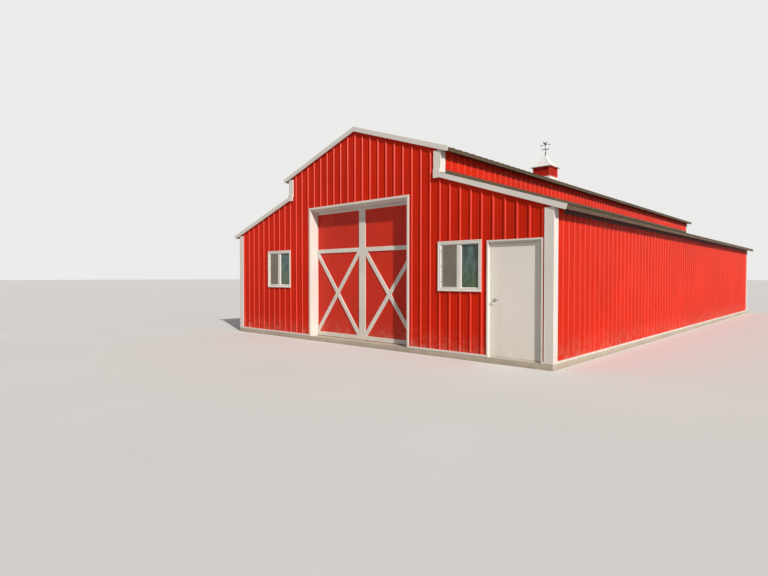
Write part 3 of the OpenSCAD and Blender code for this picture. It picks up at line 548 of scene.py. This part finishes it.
def give(name, *mats):
    """The mesh of a solid, with these materials in place of its own."""
    mesh = NODES[name].data
    mesh.materials.clear()
    for m in mats:
        mesh.materials.append(m)
    return mesh


def dress(material, *names):
    for n in names:
        give(n, material)


def paint_flank_highlights(flat, highlight_finish, *names):
    """Gives the slanting flanks of the ribs, which face two ways, a lighter and glossier red; the lighter
    colour is a painted highlight along every rib.
    """
    for n in names:
        for p in give(n, flat, highlight_finish).polygons:
            p.material_index = int(sum(abs(c) > 0.3 for c in p.normal[:2]) == 2)


def grain_along_pieces(name):
    """Gives every piece of timber in a node the grain that runs along it."""
    mesh = give(name, timber_x, timber_y, timber_z, timber_right, timber_left)
    root = list(range(len(mesh.vertices)))

    def find(i):
        while root[i] != i:
            root[i] = root[root[i]]
            i = root[i]
        return i

    where = {}
    for v in mesh.vertices:
        key = tuple(round(c, 4) for c in v.co)
        root[find(v.index)] = find(where.setdefault(key, v.index))
    for p in mesh.polygons:
        for v in p.vertices[1:]:
            root[find(v)] = find(p.vertices[0])
    lo, hi = {}, {}
    for v in mesh.vertices:
        r = find(v.index)
        lo[r] = [min(a, b) for a, b in zip(lo.get(r, v.co), v.co)]
        hi[r] = [max(a, b) for a, b in zip(hi.get(r, v.co), v.co)]
    for p in mesh.polygons:
        r = find(p.vertices[0])
        size = [b - a for a, b in zip(lo[r], hi[r])]
        axis = size.index(max(size))
        is_rafter = axis == 0 and 0.3 < size[2] < 1.5 and size[1] < 0.1
        p.material_index = (3 if lo[r][0] > 0 else 4) if is_rafter else axis


dress(slab_mat, "slab")
# The slanting flanks of the ribs get the lighter red, a painted highlight.
paint_flank_highlights(red, red_flank_highlight, "front_wall_left", "front_wall_right", "front_wall_over_doors",
             "front_wall_side_door", "back_wall", "left_wall", "right_wall", "left_raised_wall",
             "right_raised_wall")
dress(bronze, "left_lower_roof", "right_lower_roof", "left_upper_roof", "right_upper_roof", "ridge_cap",
      "lower_eave_trims", "upper_eave_trims")
dress(white, "base_trim", "front_rakes", "back_rakes", "corner_trims", "raised_corner_trims", "doorway_trim",
      "side_door_trim")
dress(frame_beige, "side_door_frame")
dress(galvanised, "door_track", "left_door_hangers", "right_door_hangers")
dress(door_red, "left_door_leaf", "right_door_leaf")
dress(beige, "side_door_leaf")
dress(nickel, "side_door_roses", "side_door_lever")
dress(vinyl, "left_window", "right_window")
dress(pane, "window_glass")
dress(cupola_white, "cupola_saddle", "cupola_roof")
dress(cupola_red, "cupola_body")
dress(iron, "vane_rod", "vane_arrow")
dress(board_up, "left_door_boards", "right_door_boards")
for name in ("left_side_frame", "right_side_frame", "front_frame_left", "front_frame_right", "back_frame",
             "left_aisle_frame", "right_aisle_frame", "lower_roof_frame", "upper_roof_frame",
             "doorway_header", "roof_ties"):
    grain_along_pieces(name)

# Skin: minor beads between the ribs, and at every fourth rib the lap of a sheet, with screws beside the ribs
BEAD_HALF, LAP_HALF, SCREW_HALF = 0.011, 0.003, 0.010
BEAD = [(-BEAD_HALF, -SINK), (-0.006, 0.0028), (0.006, 0.0028), (BEAD_HALF, -SINK)]
LAP = [(-0.0012, -SINK), (-0.0012, 0.0014), (0.0010, 0.0014), (0.0016, -SINK)]
BEAD_PLACES = (RIB_PITCH / 3, 2 * RIB_PITCH / 3)
LAP_PLACE, SCREW_PLACE, SHEET_RIBS = RIB_FOOT / 2 + 0.004, 0.040, 4
WASHER, HEX_HEAD = (9, 0.0085, -SINK, 0.0018, 0.0), (6, 0.0052, 0.0018, 0.0066, 0.0008)


def front_spans(x):
    """Heights between which the front siding stands at x."""
    top = gable_top(x)
    if abs(x) < OPENING_HALF:
        return [(TRIM_TOP + CLEAR, top)]
    if SIDE_TRIM_L < x < SIDE_TRIM_R:
        return [(SIDE_TRIM_TOP + CLEAR, top)]
    if abs(abs(x) - WINDOW_X) < WINDOW_W / 2 + 0.02:
        return [(SIDING_Z, WINDOW_FOOT - 2 * CLEAR), (WINDOW_TOP + 2 * CLEAR, top)]
    return [(SIDING_Z, top)]


def back_spans(x):
    return [(SIDING_Z, gable_top(x))]


def edge_clear(x, half):
    """True if a strip of that half width at x clears the edges of the openings and the corners."""
    edges = [OPENING_HALF, CENTRE_HALF, SIDE_TRIM_L, SIDE_TRIM_R, WINDOW_X - WINDOW_W / 2,
             WINDOW_X + WINDOW_W / 2]
    return abs(x) < HALF_W - CORNER - half and all(abs(abs(x) - e) > half + CLEAR for e in edges)


def screw(shape, place, u, w):
    """A hex head on a washer."""
    turn = rng.uniform(0, 1.0)
    for sides, radius, low, high, chamfer in (WASHER, HEX_HEAD):
        angles = [turn + math.tau * i / sides for i in range(sides)]
        ring = [(u + radius * math.cos(a), w + radius * math.sin(a)) for a in angles]
        shape.plate(ring, low, high, place, chamfer)


def dress_gable(place, spans, beads, laps, screws):
    """Beads, laps and screws on a gable wall, where spans gives the runs of siding at x."""
    for i, c in enumerate(FRONT_RIBS):
        for x in (c + b for b in BEAD_PLACES):
            if edge_clear(x, BEAD_HALF):
                for z0, z1 in spans(x):
                    beads.prism(shifted(BEAD, x), z0, gable_top if z1 == gable_top(x) else z1, place)
        x = c + LAP_PLACE
        if i % SHEET_RIBS == 0 and edge_clear(x, LAP_HALF):
            for z0, z1 in spans(x):
                laps.prism(shifted(LAP, x), z0, z1 - CLEAR, place)
        x = c + SCREW_PLACE
        if edge_clear(x, SCREW_HALF):
            for z in GIRTS + GABLE_GIRTS + [gable_top(x) - GABLE_TOP_ROW]:
                if any(z0 + 0.02 < z < z1 - 0.02 for z0, z1 in spans(x)):
                    screw(screws, place, x, z)


def dress_run(place, ribs, start, end, last, rows, beads, laps, screws):
    """The same on a side wall or a roof: start to end is its height or slope, and no bead lies past last."""
    for i, c in enumerate(ribs):
        for u in (c + b for b in BEAD_PLACES):
            if u < last - BEAD_HALF - SINK:
                beads.prism(shifted(BEAD, u), start, end, place)
        if i % SHEET_RIBS == 0:
            laps.prism(shifted(LAP, c + LAP_PLACE), start, end, place)
        for w in rows:
            screw(screws, place, c + SCREW_PLACE, w)


beads, laps, screws = Shape(), Shape(), Shape()
dress_gable(on_front, front_spans, beads, laps, screws)
dress_gable(on_back, back_spans, beads, laps, screws)
for side in (-1, 1):
    for plane, foot, top, rows in ((HALF_W, SIDING_Z, EAVE, GIRTS + [EAVE_ROW]),
                                   (CENTRE_HALF, RAISED_FOOT, CENTRE_EAVE, RAISED_ROWS)):
        dress_run(on_side(side, plane), SIDE_RIBS, foot, top - 0.001, -FRONT - CORNER, rows,
                  beads, laps, screws)
beads.make("siding_beads", [red], "barn", "siding_red")

# Dark foam closures between the ribs under the eaves, as wide as the flanks leave it; they are made far
# taller than real closures, so that their dark colour stands in for the shadow under the eaves: painted shade
eave_shade_blocks = Shape()
foam_foot, foam_crest = (RIB_FOOT / 2 + 0.0003, 0.0002), (RIB_CREST / 2 + 0.001, RIB_H - 0.0008)
for side in (-1, 1):
    for plane, foot, top in ((HALF_W, 2.540, EAVE), (CENTRE_HALF, 3.872, CENTRE_EAVE)):
        for a, b in zip(SIDE_RIBS, SIDE_RIBS[1:]):
            tooth = [(a + foam_foot[0], foam_foot[1]), (a + foam_crest[0], foam_crest[1]),
                     (b - foam_crest[0], foam_crest[1]), (b - foam_foot[0], foam_foot[1])]
            eave_shade_blocks.prism(tooth, foot, top - 2 * CLEAR, on_side(side, plane))
eave_shade_blocks.make("eave_closures_painted_shade", [shade_foam], "barn", "vane_black")
laps.make("siding_laps", [red], "barn", "siding_red")
screws.make("siding_screws", [red], "barn", "siding_red")

beads, screws = Shape(), Shape()
for side in (-1, 1):
    for under, start, edge, rows in ((lower_z, CENTRE_HALF + 0.012, LOWER_EDGE, LOWER_PURLINS),
                                     (upper_z, 0.034, UPPER_EDGE, UPPER_PURLINS)):
        dress_run(on_roof(side, under), ROOF_RIBS, start, edge - CLEAR, -FRONT, rows, beads, beads, screws)
beads.make("roof_beads", [bronze], "barn", "roof_bronze")
screws.make("roof_screws", [bronze], "barn", "roof_bronze")

# White trim: rolled hems and creases on corners and rakes, and the feet of the raised corner trims
HEM_R, NOSE_R, NOSE_IN, CREASE_R, CREASE_IN = 0.0035, 0.0026, 0.0015, 0.0014, 0.045
RAKE_LINES = ((RAKE_DROP, HEM_R, -CLEAR), (RAKE_DROP - 0.026, 0.0016, -CLEAR), (-0.024, 0.0020, 0.012))
FOOT_H = 0.16

hems, feet = Shape(), Shape()
for end in (-1, 1):
    for side in (-1, 1):
        for plane, foot, top in ((HALF_W, SIDING_Z, lower_z), (CENTRE_HALF, RAISED_FOOT, upper_z)):
            out_x, out_y, in_x, in_y = plane + TRIM_T, -FRONT + TRIM_T, plane - CORNER, -FRONT - CORNER
            for x, y, r in ((out_x, in_y, HEM_R), (in_x, out_y, HEM_R),
                            (out_x - NOSE_IN, out_y - NOSE_IN, NOSE_R),
                            (out_x, in_y + CREASE_IN, CREASE_R), (in_x + CREASE_IN, out_y, CREASE_R)):
                hems.rod(lambda t, u, v: (side * (x + u), end * (y + v), t),
                         foot, top(out_x) - RAKE_DROP - CLEAR, r)
        for under, start, edge in ((lower_z, CENTRE_HALF + TRIM_T, LOWER_EDGE), (upper_z, 0.0, UPPER_EDGE)):
            for drop, r, past in RAKE_LINES:
                hems.rod(lambda t, u, v: (side * t, end * (-FRONT + RAKE_T + u - r), under(t) - drop + v),
                         start, edge + past, r)
        foot = lower_z(CENTRE_HALF) - RAKE_DROP
        feet.plate(rectangle(CENTRE_HALF - CORNER, CENTRE_HALF + TRIM_T, foot, foot + FOOT_H), 0.0005, RAKE_T,
                   lambda u, v, w: (side * u, end * (-FRONT + v), w), CLEAR)
feet.make("raised_trim_feet", [white], "barn", "trim_white")

# Hems round the big doorway and the side door, half sunk into the trim's face
DOORWAY_HEM, SIDE_HEM, SIDE_CREASE_IN = 0.0022, 0.0018, 0.024
face = FRONT - TRIM_T
for z in (TRIM_TOP - 0.040, TRIM_TOP):
    hems.rod(level(face, z, 0.5), -OPENING_HALF, OPENING_HALF, DOORWAY_HEM)
for side, side_door_lines in ((-1, (SIDE_TRIM_L, SIDE_TRIM_L + SIDE_CREASE_IN)),
                              (1, (SIDE_TRIM_R - SIDE_CREASE_IN, SIDE_TRIM_R))):
    for x in (DOORWAY_HALF, OPENING_HALF):
        hems.rod(upright(side * x, face, 0.5), SLAB + 0.001, TRIM_TOP, DOORWAY_HEM)
    for x in side_door_lines:
        hems.rod(upright(x, face, 0.5), SLAB + 0.001, SIDE_TRIM_TOP, SIDE_HEM)
for z in (SIDE_TRIM_TOP, SIDE_TRIM_TOP - SIDE_CREASE_IN):
    hems.rod(level(face, z, 0.5), SIDE_TRIM_L, SIDE_TRIM_R, SIDE_HEM)
hems.make("trim_hems", [white], "barn", "trim_white", smooth=0.9)

# Bronze trim: hems of the eaves and ridge, and the flashing where the lower roofs meet the raised walls
FLASHING_END, FLASHING_X, FLASHING_T = 0.062, CENTRE_HALF + 0.105, 0.0014
WALL_NEAR, WALL_FAR = CENTRE_HALF + 0.0005, CENTRE_HALF + 0.003
crest = RIB_H + 0.0012
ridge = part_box("ridge_cap")[1].z
y0, y1 = FRONT + FLASHING_END, -FRONT - FLASHING_END
flashing = Shape()
for side in (-1, 1):
    for edge, under in ((LOWER_EDGE, lower_z), (UPPER_EDGE, upper_z)):
        for drop, r in ((EAVE_DROP, 0.0032), (EAVE_DROP * 0.5, 0.0016)):
            flashing.rod(lambda t, u, v: (side * (edge + u), t, under(edge) - drop + v), FRONT, -FRONT, r)
    roof = on_roof(side, lower_z)
    x0, x1 = sorted((side * WALL_NEAR, side * WALL_FAR))
    foot = lower_z(CENTRE_HALF) + 0.027
    for inset_y, rise in ((FLASHING_END, 0.013), (CORNER + 0.012, 0.075)):
        flashing.block((x0, FRONT + inset_y, foot), (x1, -FRONT - inset_y, foot + rise))
    flashing.prism(rectangle(y0, y1, crest, crest + FLASHING_T), CENTRE_HALF - 0.004, FLASHING_X, roof)
    flashing.rod(lambda t, u, v: roof(t, crest + 0.0010 + v * 0.6, FLASHING_X + u), y0, y1, 0.0026)
for side in (-1, 1):
    for x, r in ((CAP_WING, 0.0030), (CAP_WING - 0.060, 0.0016)):
        flashing.rod(lambda t, u, v: (side * (x + u), t, ridge - x * SLOPE + v * 0.8 - 0.001),
                     FRONT, -FRONT, r)
flashing.make("roof_flashings", [bronze], "barn", "roof_bronze", smooth=0.9)

# Screws of the ridge cap, on every second rib clear of the cupola, and of the corner trims
CUPOLA_CLEAR, TRIM_ROW, TRIM_ROW_STEP = 0.36, 0.02, 0.6
caps, fixings = Shape(), Shape()
for side in (-1, 1):
    for c in ROOF_RIBS[::2]:
        if abs(c) > CUPOLA_CLEAR:
            screw(caps, on_ridge_cap(side), c, CAP_ROW)
caps.make("ridge_screws", [bronze], "barn", "roof_bronze")
for side in (-1, 1):
    for plane, z0, z1 in ((HALF_W, 0.30, 2.45), (CENTRE_HALF, 3.60, 3.82)):
        steps = max(1, round((z1 - z0) / TRIM_ROW_STEP))
        heights = [z0 + (z1 - z0) * i / steps for i in range(steps + 1)]
        for end in (-1, 1):
            for z in heights:
                screw(fixings, lambda u, v, w: (side * u, end * (-FRONT + TRIM_T + v), w),
                      plane - CORNER + TRIM_ROW, z)
            for z in heights:
                screw(fixings, lambda u, v, w: (side * (plane + TRIM_T + v), end * u, w),
                      -FRONT - CORNER + TRIM_ROW, z)
fixings.make("trim_screws", [white], "barn", "trim_white")

# Sliding doors: boards, seams, nails and a sweep
BOARD_W, BOARD_GAP, BOARD_EASE = 0.092, 0.0008, 0.0022
LEAF_PANELS, SEAM_HALF, SEAM_R = 7, 0.004, 0.0011
NAIL = [(0.0001, 0.0016), (0.0034, 0.0014), (0.0042, 0.0004), (0.0042, -SINK)]
STILE_NAILS, STILE_NAIL_OFF, RAIL_NAILS = [0.62, 1.14, 1.62, 2.42, 2.74], 0.02, (0.13, 0.55)


def leaf_boards(lo, hi):
    """The white boards of a leaf: mitred stiles and rails, and a saltire with one board through."""
    front_of, thick = lambda u, v, w: (u, hi.y - v, w), hi.y - lo.y
    shape = Shape()

    def board(outline, mark=0):
        shape.plate(outline, 0, thick, front_of, BOARD_EASE, mark)

    for x in (lo.x, hi.x - BOARD_W):
        board(rectangle(x, x + BOARD_W, lo.z, hi.z))
    x0, x1 = lo.x + BOARD_W + BOARD_GAP, hi.x - BOARD_W - BOARD_GAP
    for z in (lo.z, MID_RAIL - BOARD_W / 2, hi.z - BOARD_W):
        board(rectangle(x0, x1, z, z + BOARD_W), 1)
    z0, z1 = lo.z + BOARD_W + BOARD_GAP, MID_RAIL - BOARD_W / 2 - BOARD_GAP
    cx, cz = (x0 + x1) / 2, (z0 + z1) / 2
    lean = math.atan2(z1 - z0, x1 - x0)
    nx, nz = -math.sin(lean), math.cos(lean)

    def brace(way):
        """One diagonal, cut to the panel."""
        middle = nx * way * cx + nz * cz
        upper_cut = clip(rectangle(x0, x1, z0, z1), nx * way, nz, middle + BOARD_W / 2)
        return clip(upper_cut, -nx * way, -nz, BOARD_W / 2 - middle)

    board(brace(1))
    middle = nx * cx + nz * cz
    board(clip(brace(-1), nx, nz, middle - BOARD_W / 2 - BOARD_GAP))
    board(clip(brace(-1), -nx, -nz, -middle - BOARD_W / 2 - BOARD_GAP))
    return shape


for body in ("left_door", "right_door"):
    lo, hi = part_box(body + "_boards")
    leaf_boards(lo, hi).make(body + "_cross_boards", [board_up, board_flat], body, "board_white",
                             replaces=(body + "_boards",))
    leaf_lo, leaf_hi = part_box(body + "_leaf")
    seams, heads, sweep = Shape(), Shape(), Shape()
    for y in (leaf_lo.y, leaf_hi.y):
        for i in range(1, LEAF_PANELS):
            x = leaf_lo.x + (leaf_hi.x - leaf_lo.x) * i / LEAF_PANELS
            for dx in (-SEAM_HALF, SEAM_HALF):
                seams.rod(upright(x + dx, y), leaf_lo.z + 0.01, leaf_hi.z - 0.01, SEAM_R, 6)
    seams.make(body + "_seams", [door_red], body, "door_red", smooth=0.9)
    rails = [lo.z + BOARD_W / 2, MID_RAIL, hi.z - BOARD_W / 2]
    nails = [(x + dx, z) for x in (lo.x + BOARD_W / 2, hi.x - BOARD_W / 2) for z in rails + STILE_NAILS
             for dx in (-STILE_NAIL_OFF, STILE_NAIL_OFF)]
    near, far = RAIL_NAILS
    nails += [(x, z) for z in rails for x in (lo.x + near, lo.x + far, hi.x - far, hi.x - near)]
    for x, z in nails:
        heads.turned(NAIL, (x, lo.y, z), (0, -1, 0), 10)
    heads.make(body + "_nail_heads", [galvanised], body, "galvanised", smooth=0.7)
    sweep.block((leaf_lo.x + 0.001, leaf_lo.y + 0.010, SLAB + 0.0006),
                (leaf_hi.x - 0.001, leaf_hi.y - 0.010, leaf_lo.z), 0.0015)
    sweep.block((leaf_lo.x + 0.0005, leaf_lo.y - 0.0015, leaf_lo.z - 0.004),
                (leaf_hi.x - 0.0005, leaf_lo.y, leaf_lo.z + 0.012), 0.0008)
    sweep.make(body + "_sweep", [black], body, "vane_black")

# Side door: seals, sweep, threshold ridges, edge beads and hinge plates
SEAL_FRONT, SEAL_BACK, SEAL_END = LEAF_Y + 0.012, LEAF_Y + 0.030, 0.003
THRESHOLD = SLAB + 0.0228
RIDGES, RIDGE_STEP, RIDGE_W = 6, 0.015, 0.006
EDGE_IN, EDGE_R = 0.0035, 0.0016
HINGES, HINGE_HALF, HINGE_T, HINGE_SCREWS = (0.326, 1.099, 1.872), 0.046, 0.0016, (-0.034, 0.0, 0.034)
SCREW_HEAD = [(0.0001, 0.0014), (0.0030, 0.0012), (0.0038, 0.0)]

seal, sweep, sill, edging, plates = Shape(), Shape(), Shape(), Shape(), Shape()
for x in (LEAF_L - 0.0035, LEAF_R + 0.0015):
    seal.block((x, SEAL_FRONT, LEAF_FOOT), (x + 0.002, SEAL_BACK, LEAF_TOP + SEAL_END))
seal.block((LEAF_L - SEAL_END, SEAL_FRONT, LEAF_TOP + 0.0012),
           (LEAF_R + SEAL_END, SEAL_BACK, LEAF_TOP + 0.0034))
seal.make("side_door_seal", [black], "barn", "vane_black")
sweep.block((LEAF_L + CLEAR, LEAF_Y + 0.006, THRESHOLD), (LEAF_R - CLEAR, LEAF_Y + 0.038, LEAF_FOOT + 0.0005))
sweep.make("side_door_sweep", [black], "side_door", "vane_black")
for i in range(RIDGES):
    y = LEAF_Y + 0.006 + RIDGE_STEP * i
    top = THRESHOLD - (0.0003 if 0 < i < 4 else 0)
    sill.block((LEAF_L - SEAL_END, y, THRESHOLD - 0.001), (LEAF_R + SEAL_END, y + RIDGE_W, top))
sill.make("threshold_ridges", [galvanised], "barn", "galvanised")

rim = rectangle(LEAF_L + EDGE_IN, LEAF_R - EDGE_IN, LEAF_FOOT + EDGE_IN, LEAF_TOP - EDGE_IN)
for (xa, za), (xb, zb) in zip(rim, rim[1:] + rim[:1]):
    edging.rod(lambda t, u, v: (xa + (xb - xa) * t + (v if xa == xb else 0), LEAF_Y + u * 0.6,
                                za + (zb - za) * t + (0 if xa == xb else v)), 0, 1, EDGE_R, 6)
edging.make("side_door_edge_beads", [beige], "side_door", "door_beige", smooth=0.9)

for z in HINGES:
    plates.block((LEAF_R - 0.034, LEAF_Y - HINGE_T, z - HINGE_HALF),
                 (LEAF_R - 0.006, LEAF_Y, z + HINGE_HALF), 0.0006)
    for dz in HINGE_SCREWS:
        plates.turned(SCREW_HEAD, (LEAF_R - 0.022, LEAF_Y - HINGE_T, z + dz), (0, -1, 0), 12)
plates.make("side_door_hinge_plates", [nickel], "side_door", "lever_metal", smooth=0.6)

# Lever: round roses, and on both faces a stem that bends into the handle, as steps along and out of the door
ROSE = [(0.0115, 0.0), (0.032, 0.0), (0.032, 0.0045), (0.0305, 0.0072), (0.027, 0.0088), (0.0115, 0.009)]
STEM = [(0.0, 0.010), (0.0, 0.022), (0.0, 0.034), (0.0015, 0.044), (0.007, 0.0515), (0.016, 0.0555),
        (0.030, 0.0570), (0.050, 0.0572), (0.070, 0.0568), (0.088, 0.0560), (0.100, 0.0545), (0.1045, 0.0535)]
STEM_WIDE = [0.0098, 0.0092, 0.0088, 0.0085, 0.0082, 0.0078, 0.0068, 0.0062, 0.0058, 0.0055, 0.0046, 0.0016]
STEM_TALL = [0.0098, 0.0092, 0.0090, 0.0092, 0.0096, 0.0099, 0.0099, 0.0096, 0.0092, 0.0086, 0.0068, 0.0022]
SPINDLE = [(0.0098, -0.012), (0.0098, 0.056)]
LATCH_HALF = 0.028

roses, lever, latch = Shape(), Shape(), Shape()
for y, way in ((LEAF_Y, -1), (LEAF_Y + LEAF_T, 1)):
    roses.turned(ROSE, (LEVER_X, y, LEVER_Z), (0, way, 0), 40)
    lever.sweep([(LEVER_X + a, y + way * b, LEVER_Z) for a, b in STEM],
                lambda i: (STEM_WIDE[i], STEM_TALL[i]), 20)
lever.turned(SPINDLE, (LEVER_X, LEAF_Y, LEVER_Z), (0, 1, 0), 28)
roses.make("side_door_round_roses", [nickel], "side_door", "lever_metal", ("side_door_roses",), 0.6)
lever.make("side_door_curved_lever", [nickel], "lever", "lever_metal", ("side_door_lever",), 0.9)
latch.block((LEAF_L - 0.0005, LEAF_Y + 0.009, LEVER_Z - LATCH_HALF),
            (LEAF_L + 0.002, LEAF_Y + 0.034, LEVER_Z + LATCH_HALF))
latch.make("latch_plate", [nickel], "side_door", "lever_metal")

# Windows: sashes, gaskets, a screen over the left half, clips, and a moulded face with a sill
SASH, GASKET, MOULDING, NET_RIM = 0.020, 0.004, 0.020, 0.014
for side, name in ((-1, "left"), (1, "right")):
    x = side * WINDOW_X
    left, right = x - WINDOW_W / 2, x + WINDOW_W / 2
    z0, z1 = WINDOW_FOOT + WINDOW_FACE, WINDOW_TOP - WINDOW_FACE
    sash, gasket, net, net_frame, clips, sills = (Shape() for _ in range(6))
    for a, b, y in ((left + WINDOW_FACE, x - MULLION_HALF, 0.010),
                    (x + MULLION_HALF, right - WINDOW_FACE, 0.020)):
        sash.bars(border(a, b, z0, z1, SASH), FRONT + y, FRONT + PANE_Y - 0.0005, 0.002)
        gasket.bars(border(a + SASH, b - SASH, z0 + SASH, z1 - SASH, GASKET, full=True),
                    FRONT + y + 0.006, FRONT + PANE_Y - 0.0003)
    sash.make(name + "_window_sashes", [vinyl], "barn", "window_white")
    gasket.make(name + "_window_gaskets", [black], "barn", "vane_black")
    a, b = left + WINDOW_FACE + SASH, x - MULLION_HALF - SASH
    net.block((a + NET_RIM, FRONT + 0.012, z0 + NET_RIM), (b, FRONT + 0.0128, z1 - NET_RIM))
    net.make(name + "_window_screen", [mesh_screen], "barn", "window_white")
    net_frame.bars(border(a, b + 0.010, z0 + 0.006, z1 - 0.006, NET_RIM, 0.016),
                   FRONT + 0.006, FRONT + 0.0145, 0.001)
    net_frame.make(name + "_screen_frame", [frame_beige], "barn", "window_white")
    for z in (z0 + 0.12, (z0 + z1) / 2, z1 - 0.12):
        clips.block((a - 0.004, FRONT + 0.0035, z - 0.014), (a + 0.008, FRONT + 0.0065, z + 0.014), 0.001)
    clips.make(name + "_screen_clips", [black], "barn", "vane_black")
    sills.block((left, FRONT - 0.016, WINDOW_FOOT), (right, FRONT - TRIM_T, WINDOW_FOOT + MOULDING), 0.003)
    jamb_l, jamb_r, _, head = border(left, right, WINDOW_FOOT + MOULDING, WINDOW_TOP, MOULDING)
    sills.bars((jamb_l, jamb_r, head), FRONT - 0.009, FRONT - TRIM_T, 0.002)
    sills.make(name + "_window_mouldings", [vinyl], "barn", "window_white")

# Cupola: hip caps, seams, a hemmed lip and foot, and the knobs on the vane's rod
body_lo, body_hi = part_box("cupola_body")
roof_lo, roof_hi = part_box("cupola_roof")
rod_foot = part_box("vane_rod")[0].z
half = (roof_hi.x - roof_lo.x) / 2
LIP, ROOF_RISE, PEAK, FLARE = 0.016, 0.420, 0.014, 1.45
STEPS, HIP_END, SEAM_END = 7, 0.985, 0.93
KNOB = [(0.010, 0.0), (0.020, 0.004), (0.0265, 0.014), (0.0275, 0.024), (0.0235, 0.036), (0.014, 0.044),
        (0.0095, 0.048)]
COLLAR = [(0.0095, 0.0), (0.0165, 0.003), (0.0165, 0.010), (0.0095, 0.013)]


def flare(t):
    """Half width and height of the cupola's roof, from its lip at 0 to its peak at 1."""
    return half * (1 - t) + PEAK * t, roof_lo.z + LIP + ROOF_RISE * t ** FLARE


hips, hem, knob = Shape(), Shape(), Shape()
for sx in (-1, 1):
    for sy in (-1, 1):
        path = [(sx * r, sy * r, z) for r, z in (flare(i / STEPS * HIP_END) for i in range(STEPS + 1))]
        hips.sweep(path, lambda i: (0.011 - 0.0006 * i, 0.0055), 8)
    for share in (-0.5, 0.0, 0.5):
        slope = [(r, z + 0.0008) for r, z in (flare(i / STEPS * SEAM_END) for i in range(STEPS + 1))]
        for path in ([(sx * r, share * r, z) for r, z in slope], [(share * r, sx * r, z) for r, z in slope]):
            hips.sweep(path, lambda i: (0.0032, 0.0042), 6)
hips.make("cupola_roof_seams", [cupola_white], "barn", "cupola_white", smooth=0.8)
for c, s in ((1, 0), (0, 1), (-1, 0), (0, -1)):
    for out, z, flat, r in ((half - 0.002, roof_lo.z + 0.004, 0.5, 0.004),
                            (body_hi.x - 0.012, body_lo.z - 0.010, 1.0, 0.006)):
        hem.rod(lambda t, u, v: (c * (out + u * flat) - s * t, s * (out + u * flat) + c * t, z + v),
                -out, out, r)
hem.make("cupola_hems", [cupola_white], "barn", "cupola_white", smooth=0.9)
knob.turned(KNOB, (0, 0, rod_foot + 0.060), (0, 0, 1), 24)
knob.turned(COLLAR, (0, 0, rod_foot + 0.2035), (0, 0, 1), 20)
knob.make("vane_knobs", [iron], "barn", "vane_black", smooth=0.8)

# Joints sawn in the slab, at its quarters and down its middle
JOINT_HALF, JOINT_H = 0.003, 0.0004
joints = Shape()
for y in (FRONT / 2, 0.0, -FRONT / 2):
    joints.block((-HALF_W + 0.08, y - JOINT_HALF, SLAB), (HALF_W - 0.08, y + JOINT_HALF, SLAB + JOINT_H))
joints.block((-JOINT_HALF, FRONT + 0.2, SLAB), (JOINT_HALF, -FRONT - 0.2, SLAB + JOINT_H))
joints.make("slab_joints", [black], "barn", "concrete")


# Floor, light and camera
def seen_straight(tree):
    """1 for the rays by which the camera, metal and glass see a surface or the background."""
    rays = tree.nodes.new("ShaderNodeLightPath").outputs
    seen = rays["Is Camera Ray"]
    for kind in ("Is Glossy Ray", "Is Transmission Ray"):
        either = tree.nodes.new("ShaderNodeMath")
        either.operation = "MAXIMUM"
        tree.links.new(seen, either.inputs[0])
        tree.links.new(rays[kind], either.inputs[1])
        seen = either.outputs[0]
    return seen


def place_in_scene(name, data):
    obj = bpy.data.objects.new(name, data)
    bpy.context.scene.collection.objects.link(obj)
    return obj


FLOOR_HALF, FLOOR_Z = 300, -0.0005
PALE_LOW, PALE_HIGH, BOUNCE = (0.74, 0.73, 0.71), (0.77, 0.76, 0.74), (0.42, 0.41, 0.40)
floor_mesh = bpy.data.meshes.new("studio_floor")
corners = rectangle(-FLOOR_HALF, FLOOR_HALF, -FLOOR_HALF, FLOOR_HALF)
floor_mesh.from_pydata([(x, y, FLOOR_Z) for x, y in corners], [], [(0, 1, 2, 3)])
ground = Finish("pale_floor", 0.9)
pale = ground.mix(ground.between(ground.noise(0.4, 3.0), 0.3, 0.7), PALE_LOW, PALE_HIGH)
ground.colour(ground.mix(seen_straight(ground.tree), BOUNCE, pale))
floor_mesh.materials.append(ground.mat)
place_in_scene("studio_floor", floor_mesh)

sun = bpy.data.lights.new("key", "SUN")
sun.energy, sun.angle = 3.5, math.radians(2)
sun.color = (1.0, 0.965, 0.915)
key = place_in_scene("key", sun)
key.rotation_mode = "QUATERNION"
key.rotation_quaternion = Vector((2.3, -1.0, 1.57)).to_track_quat("Z", "Y")

world = bpy.data.worlds.new("studio")
world.use_nodes = True
sky = world.node_tree
fill = sky.nodes["Background"]
backdrop = sky.nodes.new("ShaderNodeBackground")
for node, colour, strength in ((fill, (0.94, 0.96, 1.0, 1), 0.25), (backdrop, (0.88, 0.88, 0.87, 1), 0.95)):
    node.inputs["Color"].default_value = colour
    node.inputs["Strength"].default_value = strength
choose = sky.nodes.new("ShaderNodeMixShader")
sky.links.new(seen_straight(sky), choose.inputs["Fac"])
sky.links.new(fill.outputs[0], choose.inputs[1])
sky.links.new(backdrop.outputs[0], choose.inputs[2])
sky.links.new(choose.outputs[0], sky.nodes["World Output"].inputs["Surface"])
bpy.context.scene.world = world
bpy.context.scene.view_settings.view_transform = "Standard"

camera = bpy.data.cameras.new("camera")
camera.sensor_width, camera.lens = 36.0, 24.439
camera.clip_start, camera.clip_end = 0.1, 1000.0
eye = place_in_scene("camera", camera)
eye.location = (8.1812, -17.0413, 1.4998)
eye.rotation_euler = tuple(math.radians(a) for a in (88.800, -0.015, 42.756))
bpy.context.scene.camera = eye
